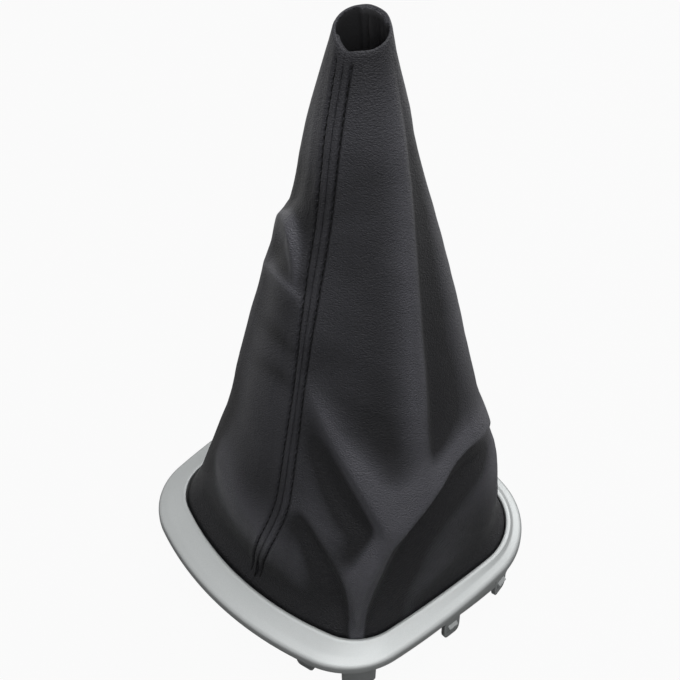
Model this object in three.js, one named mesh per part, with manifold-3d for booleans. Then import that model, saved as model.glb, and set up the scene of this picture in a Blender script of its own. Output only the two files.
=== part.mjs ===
// Gear lever gaiter: a leatherette boot sewn from two panels, clamped in a moulded console frame.
// Millimetres, +Z up, origin on the surface that the frame's snap tabs stand on, at the frame's centre.
import * as THREE from 'three';
import { mergeVertices } from 'three/addons/utils/BufferGeometryUtils.js';
import Module from 'manifold-3d';

const wasm = await Module();
wasm.setup();

const TURN = Math.PI * 2;
const HALF_TURN = Math.PI;
const radians = THREE.MathUtils.degToRad;
const clamp = THREE.MathUtils.clamp;
const lerp = THREE.MathUtils.lerp;

// An outline is a four-sided loop with bowed sides: half widths at its front (-X) and rear (+X) corner
// points, where those points lie, how far each side bows out, and the radii that round the corners.
const FRAME_OUTLINE = {
  frontHalf: 65.5, rearHalf: 67.8, front: -53.1, rear: 55.3,
  frontBow: 15.3, sideBow: 4.6, rearBow: 13.1, frontRadius: 32.6, rearRadius: 40.6,
};

// The opening lies inside the frame's outline by the width of the band, which is wide in front and
// narrow at the rear corners. The skirt lies under the band. Each value is how much is taken off.
const BAND_INSET = {
  frontHalf: 8.0, rearHalf: 4.5, front: 10.9, rear: 2.8,
  frontBow: 2.1, sideBow: 2.6, rearBow: 7.5, frontRadius: 10.6, rearRadius: 10.3,
};
const SKIRT_INSET = {
  frontHalf: 4.3, rearHalf: 2.6, front: 4.5, rear: 2.5,
  frontBow: 4.7, sideBow: 0.2, rearBow: 1.5, frontRadius: 7.6, rearRadius: 4.6,
};

// The frame's moulding, with heights measured up from its seat on the console.
const SEAT_HEIGHT = 19.0;
const RIM_HEIGHT = 2.4;
const RIM_FOOT_WIDTH = 1.9;
const EDGE_ROLL = 3.4;
const EDGE_SHOULDER = { inset: 1.2, rise: 1.3 };
const EDGE_EASE = 0.35;
const SEAT_EASE = 0.3;
const BAND_CROWN = { share: 0.6, inset: 1.36, rise: 0.99 };
const LIP_ROUND = 0.7;
const BAND_RISE = 5.2;
const LIP_HEIGHT = 7.0;
const LIP_WIDTH = 1.1;
const SHELL_WALL = 1.9;
const INNER_WALL_DEPTH = 4.5;
const SKIRT_WALL = 1.8;
const SKIRT_DEPTH = 8.9;
const SKIRT_SLOPE = 0.11;
const FRONT_SKIRT_DEPTH = 5.0;
const FRONT_SKIRT_RUN = 12;

// Snap tabs and corner feet, which reach down to the surface that the loose part stands on.
const TAB_THICKNESS = 2.0;
const TAB_WIDTH = 9.0;
const TAB_TIP_WIDTH = 4.6;
const TAB_TIP_HEIGHT = 4.5;
const TAB_ROUND = 0.4;
const TAB_ROOT = 2.0;
const TAB_PROUD = 0.05;
const FRONT_TAB_LIFT = 1.5;
const NIB_REACH = 1.3;
const NIB_HEIGHT = 5.0;
const NIB_LIFT = 3.2;
const NIB_WIDTH = 5.0;
const NIB_SLOPE = 0.7;
const NIB_ROOT = 0.5;
const FRONT_TABS = [188, 214];
const SIDE_TABS = [271, 296];
const REAR_TABS = [345];
const FOOT_START = 227;
const FOOT_END = 238;
const FOOT_RISE = 8.0;
const FOOT_STATIONS = 8;
const FOOT_FLAT = 0.5;
const RIB_COUNT = 12;
const RIB_THICKNESS = 1.2;
const RIB_LIFT = 0.4;

// The boot.
const LEATHER = 1.0;
const PIECE_GAP = 0.3;
const BOOT_CLEARANCE = 0.3;
const MOUTH_RADIUS = 10.0;
const MOUTH_HEIGHT = 245;
const MOUTH_TILT = 20;
const MOUTH_FACES = 226;
const MOUTH_SLANT_START = 0.75;
const LEAN_X = 5.9;
const LEAN_Y = -4.6;
const MOUTH_HEM = 12;
const HEM_THICKNESS = 1.4;
const HEM_EDGE = 2;
const SEAM_ALLOWANCE = 8;
const ALLOWANCE_EDGE = 1.5;
const ALLOWANCE_START = 4;
const SEAM_GROOVE = 0.7;
const SEAM_GROOVE_WIDTH = 1.6;
const SEAM_PAD = 0.55;
const STITCH_OFFSET = 3.45;
const RIM_NOTCH = 1.2;
const RIM_NOTCH_WIDTH = 2.4;
const RIM_ROLL = 0.7;
const RIM_EASE = 0.21;
const FACET = 2.6;
const FACET_TURN = 0.8;
const FREE_HEIGHT = 12;

// The clamp ring inside the boot's lower hem.
const RING_CLEARANCE = 0.5;
const RING_WALL = 2.2;
const RING_RISE = 2.0;
const RING_FLANGE_THICKNESS = 2.0;

// The seam drifts round the boot as it rises: directions in degrees, and the shares of the rise where
// its drift ends and where it starts back.
const SEAM_START = 184;
const SEAM_DRIFT = 12.5;
const SEAM_DRIFT_END = 0.24;
const SEAM_RETURN = 6;
const SEAM_RETURN_START = 0.7;

// Lines of the folds: direction from the boot's axis in degrees, share of the rise from the lip to the
// mouth, and height in millimetres (negative for a valley). left and right are how far the fold spreads
// to either side of its line, and round is how blunt its crest is (small is sharp).
const FOLDS = [
  // The long fold from the right side down to the front corner, steep below its crest.
  { left: 5, right: 18, round: 0.3, line: [
    [330, 0.232, 0.8], [315, 0.24, 2.2], [292, 0.265, 4.6], [271, 0.246, 5.8], [258, 0.212, 6.2],
    [246, 0.178, 6], [238, 0.14, 4.6], [235, 0.1, 2.4], [233, 0.05, 0]] },
  // The hollow under it.
  { left: 12, right: 5, round: 2, line: [
    [304, 0.19, -0.8], [284, 0.205, -4], [266, 0.165, -5.8], [252, 0.115, -5.8], [242, 0.07, -5.2],
    [237, 0.03, -4.6], [236, 0, -4]] },
  // The left edge of the front band, from the seam down.
  { left: 10, right: 4.5, round: 0.5, line: [
    [200, 0.47, 0], [211, 0.402, 1.6], [223, 0.36, 3], [235, 0.29, 4.4], [243, 0.205, 4.6],
    [239, 0.155, 3.2], [236, 0.12, 0.8]] },
  // The hollow beside it.
  { left: 7, right: 7, round: 1.5, line: [
    [208, 0.36, -0.8], [219, 0.29, -2.8], [229, 0.242, -4.2], [235, 0.2, -4.4], [230, 0.15, -3]] },
  // The short valley that runs down to the corner, and the narrow ridge in the corner itself.
  { left: 3, right: 9, round: 0.8, line: [
    [204, 0.22, 0], [212, 0.186, -2.2], [220, 0.14, -3.6], [226, 0.1, -4.4], [228, 0.06, -4.6],
    [228, 0, -4]] },
  { left: 3, right: 3, round: 0.8, line: [
    [237, 0.15, 0], [235, 0.125, 1.8], [232.5, 0.08, 3.6], [232, 0.03, 4], [232, 0, 3.6]] },
  // The crease down the right of the front face, with the face's rounded edge beside it.
  { left: 13, right: 3, round: 0.6, line: [
    [293, 0.98, -0.4], [290, 0.88, -1.3], [284, 0.795, -1.7], [276, 0.69, -2], [273, 0.57, -2.1],
    [270, 0.4, -2.1], [268, 0.31, -1.4], [265, 0.25, 0]] },
  { left: 6, right: 9, round: 2, line: [
    [280, 0.94, 0.4], [274, 0.78, 1.2], [267, 0.55, 1.6], [263, 0.4, 1.6], [259, 0.28, 0.8]] },
  // The dent on the left: its crest, the hollow above it and the creases below it.
  { left: 4.5, right: 6, round: 0.4, line: [
    [106, 0.64, 0], [122, 0.655, 0.8], [138, 0.68, 2], [161, 0.7, 3], [175, 0.694, 2.6],
    [186, 0.668, 1.4], [194, 0.63, 0]] },
  { left: 26, right: 4.5, round: 2, line: [
    [98, 0.68, -2.4], [122, 0.686, -3.4], [150, 0.728, -2.8], [176, 0.74, -1.2]] },
  { left: 4, right: 4, round: 0.6, line: [
    [118, 0.555, -0.4], [134, 0.575, -1.6], [152, 0.6, -2.2], [176, 0.62, -1.6], [188, 0.613, -0.6]] },
  { left: 3, right: 4, round: 0.6, line: [
    [128, 0.43, 0], [150, 0.49, -0.8], [172, 0.53, -1], [187, 0.542, -0.7]] },
  { left: 3, right: 4, round: 0.6, line: [
    [148, 0.41, 0], [166, 0.45, -0.8], [180, 0.466, -0.9], [190, 0.464, -0.5]] },
  // The slack of the left side and the fullness of the right, which is tucked in at the frame.
  { left: 24, right: 24, round: 4, line: [
    [122, 0.97, -0.4], [122, 0.8, -0.3], [122, 0.6, -0.6], [123, 0.5, -1], [124, 0.36, -2.2],
    [124, 0.27, -3.8], [124, 0.12, -2.8], [124, 0.03, -1.6]] },
  { left: 24, right: 24, round: 4, line: [
    [322, 0.96, 0], [321, 0.87, 0.9], [319, 0.8, 0.3], [318, 0.66, 2], [318, 0.5, 3.2],
    [318, 0.3, 2.2], [318, 0.23, 3.4], [318, 0.17, 4], [318, 0.12, 2.6], [318, 0.05, 0]] },
  { left: 8, right: 8, round: 2, line: [
    [278, 0.02, 0], [295, 0.03, -1.6], [318, 0.03, -3], [345, 0.02, -1]] },
  // Soft folds on the two sides that face away.
  { left: 8, right: 10, round: 2, line: [
    [20, 0.24, 0.6], [45, 0.22, 2.2], [70, 0.27, 1.6], [95, 0.33, 0]] },
  { left: 10, right: 10, round: 2, line: [[30, 0.12, -0.8], [60, 0.13, -2], [90, 0.1, -0.8]] },
  { left: 6, right: 9, round: 1, line: [
    [20, 0.62, 0], [44, 0.6, 1], [70, 0.63, 1.2], [96, 0.68, 0]] },
  { left: 12, right: 12, round: 2, line: [[42, 0.9, 0], [44, 0.6, 0.8], [46, 0.35, 0.6]] },
];

// How finely the boot is drawn: rows up to each share of the rise, closer where the folds are.
const ROW_SPANS = [[0.32, 13], [0.56, 5], [0.76, 7], [1, 4]];
const PANEL_COLUMNS = 26;
const CORNER_CROWDING = 0.1;

const FINISH = {
  bezel: new THREE.MeshStandardMaterial({ color: '#c9cbca', roughness: 0.38, metalness: 0.25 }),
  leather: new THREE.MeshStandardMaterial({ color: '#26262a', roughness: 0.55, metalness: 0 }),
  ring: new THREE.MeshStandardMaterial({ color: '#1c1c1e', roughness: 0.6, metalness: 0 }),
};

// Outlines

function bowCentre([px, py], [qx, qy], bow) {
  const chord = Math.hypot(qx - px, qy - py);
  const radius = (chord * chord / 4 + bow * bow) / (2 * bow);
  const reach = (bow - radius) / chord;
  return { x: (px + qx) / 2 + (qy - py) * reach, y: (py + qy) / 2 - (qx - px) * reach, radius };
}

// The corner arc that touches two side arcs from inside: its centre is nearest the corner point.
function cornerCentre(first, second, radius, [px, py]) {
  const apart = Math.hypot(second.x - first.x, second.y - first.y);
  const fromFirst = first.radius - radius;
  const fromSecond = second.radius - radius;
  const along = (fromFirst ** 2 - fromSecond ** 2 + apart ** 2) / (2 * apart);
  const across = Math.sqrt(Math.max(fromFirst ** 2 - along ** 2, 0));
  const ux = (second.x - first.x) / apart;
  const uy = (second.y - first.y) / apart;
  const choices = [1, -1].map((sign) => ({
    x: first.x + ux * along - uy * across * sign,
    y: first.y + uy * along + ux * across * sign,
    radius,
  }));
  choices.sort((a, b) => Math.hypot(a.x - px, a.y - py) - Math.hypot(b.x - px, b.y - py));
  return choices[0];
}

// An outline inside another, by an inset for each of its values.
function within(outline, inset) {
  const inner = {};
  for (const key of Object.keys(outline)) {
    inner[key] = outline[key] - inset[key];
  }
  inner.front = outline.front + inset.front;
  return inner;
}

function withSweep(circle, from, to) {
  const start = Math.atan2(from.y, from.x);
  let end = Math.atan2(to.y, to.x);
  while (end < start) end += TURN;
  return { ...circle, start, end };
}

// The outline's eight arcs, anticlockwise: a corner, then the side after it, four times over.
function outlineArcs(o) {
  const corners = [
    [o.front, -o.frontHalf], [o.rear, -o.rearHalf], [o.rear, o.rearHalf], [o.front, o.frontHalf],
  ];
  const bows = [o.sideBow, o.rearBow, o.sideBow, o.frontBow];
  const radii = [o.frontRadius, o.rearRadius, o.rearRadius, o.frontRadius];
  const sides = corners.map((corner, i) => bowCentre(corner, corners[(i + 1) % 4], bows[i]));
  const rounds = corners.map((corner, i) => cornerCentre(sides[(i + 3) % 4], sides[i], radii[i], corner));
  const between = (side, round) => ({ x: round.x - side.x, y: round.y - side.y });
  const arcs = [];
  for (let i = 0; i < 4; i += 1) {
    const next = rounds[(i + 1) % 4];
    arcs.push(withSweep(rounds[i], between(sides[(i + 3) % 4], rounds[i]), between(sides[i], rounds[i])));
    arcs.push(withSweep(sides[i], between(sides[i], rounds[i]), between(sides[i], next)));
  }
  return arcs;
}

// Points round an outline, inset by a distance, with the same share of each arc on every outline.
const CORNER_STEPS = 9;
const SIDE_STEPS = 8;
function stations(arcs, inset) {
  const points = [];
  arcs.forEach((arc, i) => {
    const steps = i % 2 === 0 ? CORNER_STEPS : SIDE_STEPS;
    for (let j = 0; j < steps; j += 1) {
      const angle = lerp(arc.start, arc.end, j / steps);
      const radius = arc.radius - inset;
      points.push([arc.x + radius * Math.cos(angle), arc.y + radius * Math.sin(angle)]);
    }
  });
  return points;
}

// Where a ray from the origin crosses an outline, with the outline's outward direction there.
function crossing(arcs, angle, inset) {
  const ux = Math.cos(angle);
  const uy = Math.sin(angle);
  for (const arc of arcs) {
    const radius = arc.radius - inset;
    const along = ux * arc.x + uy * arc.y;
    const inside = along * along - (arc.x ** 2 + arc.y ** 2 - radius * radius);
    if (inside < 0) continue;
    const distance = along + Math.sqrt(inside);
    const turned = Math.atan2(uy * distance - arc.y, ux * distance - arc.x) - arc.start;
    const swept = ((turned % TURN) + TURN) % TURN;
    const slack = 1e-6;
    if (swept <= arc.end - arc.start + slack || swept >= TURN - slack) {
      return { distance, normal: arc.start + swept };
    }
  }
  throw new Error('no crossing');
}

const OPENING_OUTLINE = within(FRAME_OUTLINE, BAND_INSET);
const SKIRT_OUTLINE = within(FRAME_OUTLINE, SKIRT_INSET);
const FRAME_ARCS = outlineArcs(FRAME_OUTLINE);
const OPENING_ARCS = outlineArcs(OPENING_OUTLINE);
const SKIRT_ARCS = outlineArcs(SKIRT_OUTLINE);

// Solids from grids of points

// A body from rings of points: each ring joins to the next, and the last joins the first or both are capped.
function ringBody(rings, closed) {
  const size = rings[0].length;
  const index = [];
  const count = rings.length;
  const steps = closed ? count : count - 1;
  for (let i = 0; i < steps; i += 1) {
    const here = i * size;
    const next = ((i + 1) % count) * size;
    for (let j = 0; j < size; j += 1) {
      const k = (j + 1) % size;
      index.push(here + j, next + j, next + k, here + j, next + k, here + k);
    }
  }
  if (!closed) {
    const last = (count - 1) * size;
    for (let j = 0; j < size / 2 - 1; j += 1) {
      const far = size - 1 - j;
      index.push(j, j + 1, far, far, j + 1, far - 1);
      index.push(last + j, last + far, last + j + 1, last + far, last + far - 1, last + j + 1);
    }
  }
  const geometry = new THREE.BufferGeometry();
  geometry.setAttribute('position', new THREE.Float32BufferAttribute(rings.flat(2), 3));
  geometry.setIndex(index);
  return geometry;
}

function solid(geometry) {
  const bare = geometry.clone();
  bare.deleteAttribute('normal');
  bare.deleteAttribute('uv');
  const merged = mergeVertices(bare, 1e-4);
  return new wasm.Manifold(new wasm.Mesh({
    numProp: 3,
    vertProperties: new Float32Array(merged.attributes.position.array),
    triVerts: new Uint32Array(merged.index.array),
  }));
}

function geometryOf(manifold) {
  const mesh = manifold.getMesh();
  const geometry = new THREE.BufferGeometry();
  geometry.setAttribute('position', new THREE.Float32BufferAttribute(mesh.vertProperties, 3));
  geometry.setIndex(Array.from(mesh.triVerts));
  return geometry;
}

function named(name, geometry, material) {
  const shown = geometry.toNonIndexed();
  shown.computeVertexNormals();
  const mesh = new THREE.Mesh(shown, material);
  mesh.name = name;
  return mesh;
}

// The frame

// One section of the frame's shell: [share of the way from outer to inner outline, inset, height].
// The underside repeats the top a wall thickness lower.
function shellSection() {
  const top = LIP_HEIGHT;
  const wall = SHELL_WALL;
  return [
    [0, SEAT_EASE, 0], [0, 0, RIM_HEIGHT / 2], [0, SEAT_EASE, RIM_HEIGHT],
    [0, EDGE_SHOULDER.inset, RIM_HEIGHT + EDGE_SHOULDER.rise], [0, EDGE_ROLL, BAND_RISE - EDGE_EASE],
    [BAND_CROWN.share, BAND_CROWN.inset, BAND_RISE + BAND_CROWN.rise],
    [1, -LIP_WIDTH - LIP_ROUND, top - EDGE_EASE], [1, -LIP_WIDTH, top],
    [1, -EDGE_EASE, top], [1, 0, top - EDGE_EASE],
    [1, 0, -INNER_WALL_DEPTH], [1, -wall, -INNER_WALL_DEPTH],
    [1, -wall, top - wall - LIP_ROUND], [0, EDGE_ROLL, BAND_RISE - wall - EDGE_EASE],
    [0, RIM_FOOT_WIDTH + SEAT_EASE, 0],
  ];
}

function frameShell() {
  const loops = shellSection().map(([share, inset, height]) => {
    const outer = stations(FRAME_ARCS, share === 1 ? 0 : inset);
    const inner = stations(OPENING_ARCS, share === 1 ? inset : 0);
    return outer.map(([x, y], i) => [
      lerp(x, inner[i][0], share), lerp(y, inner[i][1], share), SEAT_HEIGHT + height,
    ]);
  });
  const rings = loops[0].map((_, i) => loops.map((loop) => loop[i]));
  return solid(ringBody(rings, true));
}

// How far the skirt reaches below the seat: shallow across the front, deeper towards the rear.
function skirtDepth(x) {
  const blend = clamp((x - SKIRT_OUTLINE.front) / FRONT_SKIRT_RUN, 0, 1);
  return lerp(FRONT_SKIRT_DEPTH, SKIRT_DEPTH + SKIRT_SLOPE * x, blend);
}

function skirtWall() {
  const outer = stations(SKIRT_ARCS, 0);
  const inner = stations(SKIRT_ARCS, SKIRT_WALL);
  const top = SEAT_HEIGHT + BAND_RISE - SHELL_WALL / 2;
  const rings = outer.map(([x, y], i) => {
    const low = SEAT_HEIGHT - skirtDepth(x);
    const [ix, iy] = inner[i];
    return [[x, y, low], [x, y, top], [ix, iy, top], [ix, iy, low]];
  });
  return solid(ringBody(rings, true));
}

// A corner foot: a stretch of skirt that goes right down, with its ends sloping up.
function cornerFoot(start, end) {
  const rings = [];
  for (let i = 0; i <= FOOT_STATIONS; i += 1) {
    const share = i / FOOT_STATIONS;
    const angle = radians(lerp(start, end, share));
    const slope = FOOT_RISE * Math.max(0, Math.abs(2 * share - 1) - FOOT_FLAT);
    const edge = (inset) => {
      const { distance } = crossing(SKIRT_ARCS, angle, inset);
      return [distance * Math.cos(angle), distance * Math.sin(angle)];
    };
    const [x, y] = edge(-TAB_PROUD);
    const [ix, iy] = edge(SKIRT_WALL);
    rings.push([[x, y, slope], [x, y, SEAT_HEIGHT], [ix, iy, SEAT_HEIGHT], [ix, iy, slope]]);
  }
  return solid(ringBody(rings, false));
}

// A snap tab in its own plane, with its tip at the lift: a tapered paddle with a catch on its outer face.
function tabGeometry(lift) {
  const half = TAB_WIDTH / 2;
  const tip = TAB_TIP_WIDTH / 2;
  const top = SEAT_HEIGHT + TAB_ROOT;
  const nibFoot = lift + NIB_LIFT;
  const outline = new THREE.Shape();
  outline.moveTo(-tip, lift);
  outline.lineTo(tip, lift);
  outline.quadraticCurveTo(half, lift + TAB_ROUND, half, lift + TAB_TIP_HEIGHT);
  outline.lineTo(half, top);
  outline.lineTo(-half, top);
  outline.lineTo(-half, lift + TAB_TIP_HEIGHT);
  outline.quadraticCurveTo(-half, lift + TAB_ROUND, -tip, lift);
  const paddle = new THREE.ExtrudeGeometry(outline, {
    depth: TAB_THICKNESS, bevelEnabled: false, curveSegments: 5,
  });
  paddle.rotateX(HALF_TURN / 2);
  paddle.translate(0, TAB_THICKNESS, 0);
  const catchOutline = new THREE.Shape();
  catchOutline.moveTo(NIB_ROOT, nibFoot);
  catchOutline.lineTo(0, nibFoot);
  catchOutline.lineTo(-NIB_REACH, nibFoot + NIB_HEIGHT * NIB_SLOPE);
  catchOutline.lineTo(0, nibFoot + NIB_HEIGHT);
  catchOutline.lineTo(NIB_ROOT, nibFoot + NIB_HEIGHT);
  const nib = new THREE.ExtrudeGeometry(catchOutline, { depth: NIB_WIDTH, bevelEnabled: false });
  nib.rotateX(HALF_TURN / 2);
  nib.rotateZ(HALF_TURN / 2);
  nib.translate(-NIB_WIDTH / 2, 0, 0);
  return [paddle, nib];
}

function snapTab(degrees, lift) {
  const angle = radians(degrees);
  const { distance, normal } = crossing(SKIRT_ARCS, angle, -TAB_PROUD);
  const place = new THREE.Matrix4().makeRotationZ(normal + HALF_TURN / 2);
  place.setPosition(distance * Math.cos(angle), distance * Math.sin(angle), 0);
  const [paddle, nib] = tabGeometry(lift).map((geometry) => solid(geometry.applyMatrix4(place)));
  return paddle.add(nib);
}

// Thin ribs under the band tie the skirt to the rim.
function bandRibs() {
  const ribs = [];
  for (let i = 0; i < RIB_COUNT; i += 1) {
    const angle = radians((i + 0.5) * 360 / RIB_COUNT);
    const outer = crossing(FRAME_ARCS, angle, RIM_FOOT_WIDTH).distance;
    const inner = crossing(SKIRT_ARCS, angle, SKIRT_WALL / 2).distance;
    const rib = new THREE.BoxGeometry(outer - inner, RIB_THICKNESS, BAND_RISE - SHELL_WALL);
    rib.translate((outer + inner) / 2, 0, SEAT_HEIGHT + (BAND_RISE - SHELL_WALL) / 2 + RIB_LIFT);
    ribs.push(solid(rib.rotateZ(angle)));
  }
  return ribs;
}

function mirrored(degrees) {
  return degrees.concat(degrees.map((angle) => 360 - angle));
}

function bezel() {
  let body = frameShell().add(skirtWall());
  const feet = [
    cornerFoot(FOOT_START, FOOT_END),
    cornerFoot(360 - FOOT_END, 360 - FOOT_START),
  ];
  const tabs = [
    ...mirrored(FRONT_TABS).map((angle) => snapTab(angle, FRONT_TAB_LIFT)),
    ...mirrored([...SIDE_TABS, ...REAR_TABS]).map((angle) => snapTab(angle, 0)),
  ];
  for (const piece of [...feet, ...tabs, ...bandRibs()]) {
    body = body.add(piece);
  }
  return named('bezel', geometryOf(body), FINISH.bezel);
}

// The clamp ring

function retainerRing() {
  const outerFace = BOOT_CLEARANCE + LEATHER + RING_CLEARANCE;
  const low = -INNER_WALL_DEPTH - PIECE_GAP - RING_FLANGE_THICKNESS;
  const section = [
    [-SHELL_WALL, low], [-SHELL_WALL, low + RING_FLANGE_THICKNESS], [outerFace, low + RING_FLANGE_THICKNESS],
    [outerFace, RING_RISE], [outerFace + RING_WALL, RING_RISE], [outerFace + RING_WALL, low],
  ];
  const loops = section.map(([inset, height]) => (
    stations(OPENING_ARCS, inset).map(([x, y]) => [x, y, SEAT_HEIGHT + height])
  ));
  const rings = loops[0].map((_, i) => loops.map((loop) => loop[i]));
  return named('retainer_ring', ringBody(rings, true), FINISH.ring);
}

// The boot

const LIP_Z = SEAT_HEIGHT + LIP_HEIGHT;
const RISE = MOUTH_HEIGHT + SEAT_HEIGHT - LIP_Z;
const TUCK_DEPTH = LIP_HEIGHT - RING_RISE;
const MEAN_BASE = (FRAME_OUTLINE.frontHalf + OPENING_OUTLINE.frontHalf) / 2;

function smooth(value) {
  const x = clamp(value, 0, 1);
  return x * x * (3 - 2 * x);
}

function girth(share) {
  return lerp(MEAN_BASE, MOUTH_RADIUS, clamp(share, 0, 1));
}

function wrapped(angle) {
  return angle - TURN * Math.round(angle / TURN);
}

function seamAngle(share) {
  const drift = SEAM_DRIFT * smooth(share / SEAM_DRIFT_END);
  const back = SEAM_RETURN * smooth((share - SEAM_RETURN_START) / (1 - SEAM_RETURN_START));
  return radians(SEAM_START + drift - back);
}

// A crest of height 1 that falls to 1/e at its width, with a sharp top where round is small.
function crest(away, width, round) {
  return Math.exp(round - Math.sqrt(round * round + (2 * round + 1) * (away / width) ** 2));
}

// A fold is a ridge or valley along its line, measured on the boot rolled out flat. Its width changes
// from left to right round the ends of the line.
function foldHeight(fold, angle, share) {
  const around = girth(share);
  let nearest = Infinity;
  let height = 0;
  for (let i = 1; i < fold.line.length; i += 1) {
    const [a0, s0, h0] = fold.line[i - 1];
    const [a1, s1, h1] = fold.line[i];
    const ax = wrapped(angle - radians(a0)) * around;
    const ay = (share - s0) * RISE;
    const bx = radians(a1 - a0) * around;
    const by = (s1 - s0) * RISE;
    const t = clamp((ax * bx + ay * by) / (bx * bx + by * by), 0, 1);
    const dx = ax - bx * t;
    const dy = ay - by * t;
    const away = Math.hypot(dx, dy);
    if (away < nearest) {
      nearest = away;
      const side = (bx * dy - by * dx) / (Math.hypot(bx, by) * Math.max(away, 1e-9));
      const width = lerp(fold.right, fold.left, (1 + side) / 2);
      height = lerp(h0, h1, t) * crest(away, width, fold.round);
    }
  }
  return height;
}

// The panels' edges turn in at the seam, between two padded strips under the stitching.
function seamHeight(offset) {
  const groove = SEAM_GROOVE * Math.exp(-((offset / SEAM_GROOVE_WIDTH) ** 2));
  const pad = SEAM_PAD * smooth((SEAM_ALLOWANCE - Math.abs(offset)) / (SEAM_ALLOWANCE - STITCH_OFFSET));
  return pad - groove;
}

// A point of the boot's outer face, drawn in by depth: angle from the axis, share of the rise. Folds
// start at the lip, and hollows as far below it as the clamp ring leaves room for.
function bootPoint(angle, share, depth, drop) {
  const risen = clamp(share, 0, 1);
  const up = share * RISE;
  const base = crossing(OPENING_ARCS, ((angle % TURN) + TURN) % TURN, BOOT_CLEARANCE).distance;
  const outward = smooth(up / FREE_HEIGHT);
  const inward = smooth((up + TUCK_DEPTH) / (FREE_HEIGHT + TUCK_DEPTH));
  let radius = lerp(base, MOUTH_RADIUS, risen);
  radius += FACET * Math.sin(Math.PI * risen ** FACET_TURN) * Math.cos(4 * angle);
  const folds = FOLDS.reduce((sum, fold) => sum + foldHeight(fold, angle, risen), 0);
  radius += folds * (folds > 0 ? outward : inward);
  const offset = wrapped(angle - seamAngle(risen)) * girth(risen);
  const rear = wrapped(angle - seamAngle(risen) - HALF_TURN) * girth(risen);
  const fromSeam = Math.abs(offset) < Math.abs(rear) ? offset : rear;
  if (Math.abs(fromSeam) < SEAM_ALLOWANCE) radius += outward * seamHeight(fromSeam);
  const notch = RIM_NOTCH * Math.exp(-((offset / RIM_NOTCH_WIDTH) ** 2));
  const tilt = Math.tan(radians(MOUTH_TILT)) * MOUTH_RADIUS * Math.cos(angle - radians(MOUTH_FACES));
  const slant = smooth((risen - MOUTH_SLANT_START) / (1 - MOUTH_SLANT_START));
  const z = LIP_Z + up - (tilt + notch) * slant - drop;
  const reach = radius - depth;
  return [LEAN_X * risen + reach * Math.cos(angle), LEAN_Y * risen + reach * Math.sin(angle), z];
}

// The leather is turned in at the mouth hem and double along each seam, clear of the clamp ring.
function leatherDepth(share, fromEdge) {
  const up = share * RISE;
  const hem = smooth((up - RISE + MOUTH_HEM + HEM_EDGE) / HEM_EDGE);
  const seam = smooth((SEAM_ALLOWANCE - fromEdge) / ALLOWANCE_EDGE);
  const begun = smooth((up - ALLOWANCE_START) / (FREE_HEIGHT - ALLOWANCE_START));
  return LEATHER + Math.max((HEM_THICKNESS - LEATHER) * hem, LEATHER * seam * begun);
}

function rowShares() {
  const hem = -(INNER_WALL_DEPTH + LIP_HEIGHT - PIECE_GAP) / RISE;
  const shares = [hem, -TUCK_DEPTH / RISE, 0];
  let from = 0;
  for (const [to, rows] of ROW_SPANS) {
    for (let i = 1; i <= rows; i += 1) shares.push(lerp(from, to, i / rows));
    from = to;
  }
  return shares;
}

// Distances across a panel from its first edge: close together over the seams, then even, but crowded
// towards the opening's round corners near the lip.
function columnPlaces(share) {
  const across = HALF_TURN * girth(share);
  const edge = [PIECE_GAP / 2, SEAM_GROOVE_WIDTH, STITCH_OFFSET, SEAM_ALLOWANCE];
  const places = [...edge];
  const crowding = CORNER_CROWDING * (1 - smooth(share));
  for (let i = 1; i <= PANEL_COLUMNS; i += 1) {
    const even = i / (PANEL_COLUMNS + 1);
    const crowded = even + crowding * Math.sin(4 * HALF_TURN * even) / HALF_TURN;
    places.push(lerp(SEAM_ALLOWANCE, across - SEAM_ALLOWANCE, crowded));
  }
  return places.concat(edge.map((place) => across - place).reverse());
}

// One panel: each column is a closed section, up the outer face, over the rolled rim and down the inside.
function bootPanel(name, firstEdge) {
  const shares = rowShares();
  const columns = columnPlaces(0).length;
  const sections = [];
  for (let column = 0; column < columns; column += 1) {
    const section = [];
    const at = (share, depth, drop) => {
      const place = columnPlaces(share)[column];
      const angle = seamAngle(share) + firstEdge + place / girth(share);
      section.push(bootPoint(angle, share, depth, drop));
    };
    const depthAt = (share) => {
      const places = columnPlaces(share);
      return leatherDepth(share, Math.min(places[column], places[columns - 1 - column]));
    };
    shares.forEach((share) => at(share, 0, share === 1 ? RIM_ROLL : 0));
    at(1, RIM_EASE, RIM_EASE);
    at(1, HEM_THICKNESS / 2, 0);
    at(1, HEM_THICKNESS - RIM_EASE, RIM_EASE);
    [...shares].reverse().forEach((share) => at(share, depthAt(share), share === 1 ? RIM_ROLL : 0));
    sections.push(section);
  }
  return named(name, ringBody(sections, false), FINISH.leather);
}

const gaiter = new THREE.Group();
gaiter.add(
  bezel(),
  retainerRing(),
  bootPanel('right_panel', 0),
  bootPanel('left_panel', HALF_TURN),
);

export default gaiter;
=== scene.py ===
"""Gear lever gaiter: a leatherette boot sewn from two panels, held in a moulded silver console frame.

The file is laid out as an add-on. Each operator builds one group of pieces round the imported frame, and
main() calls them in order. Shapes are worked out in millimetres and written to the meshes in metres.
"""
import math

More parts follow.
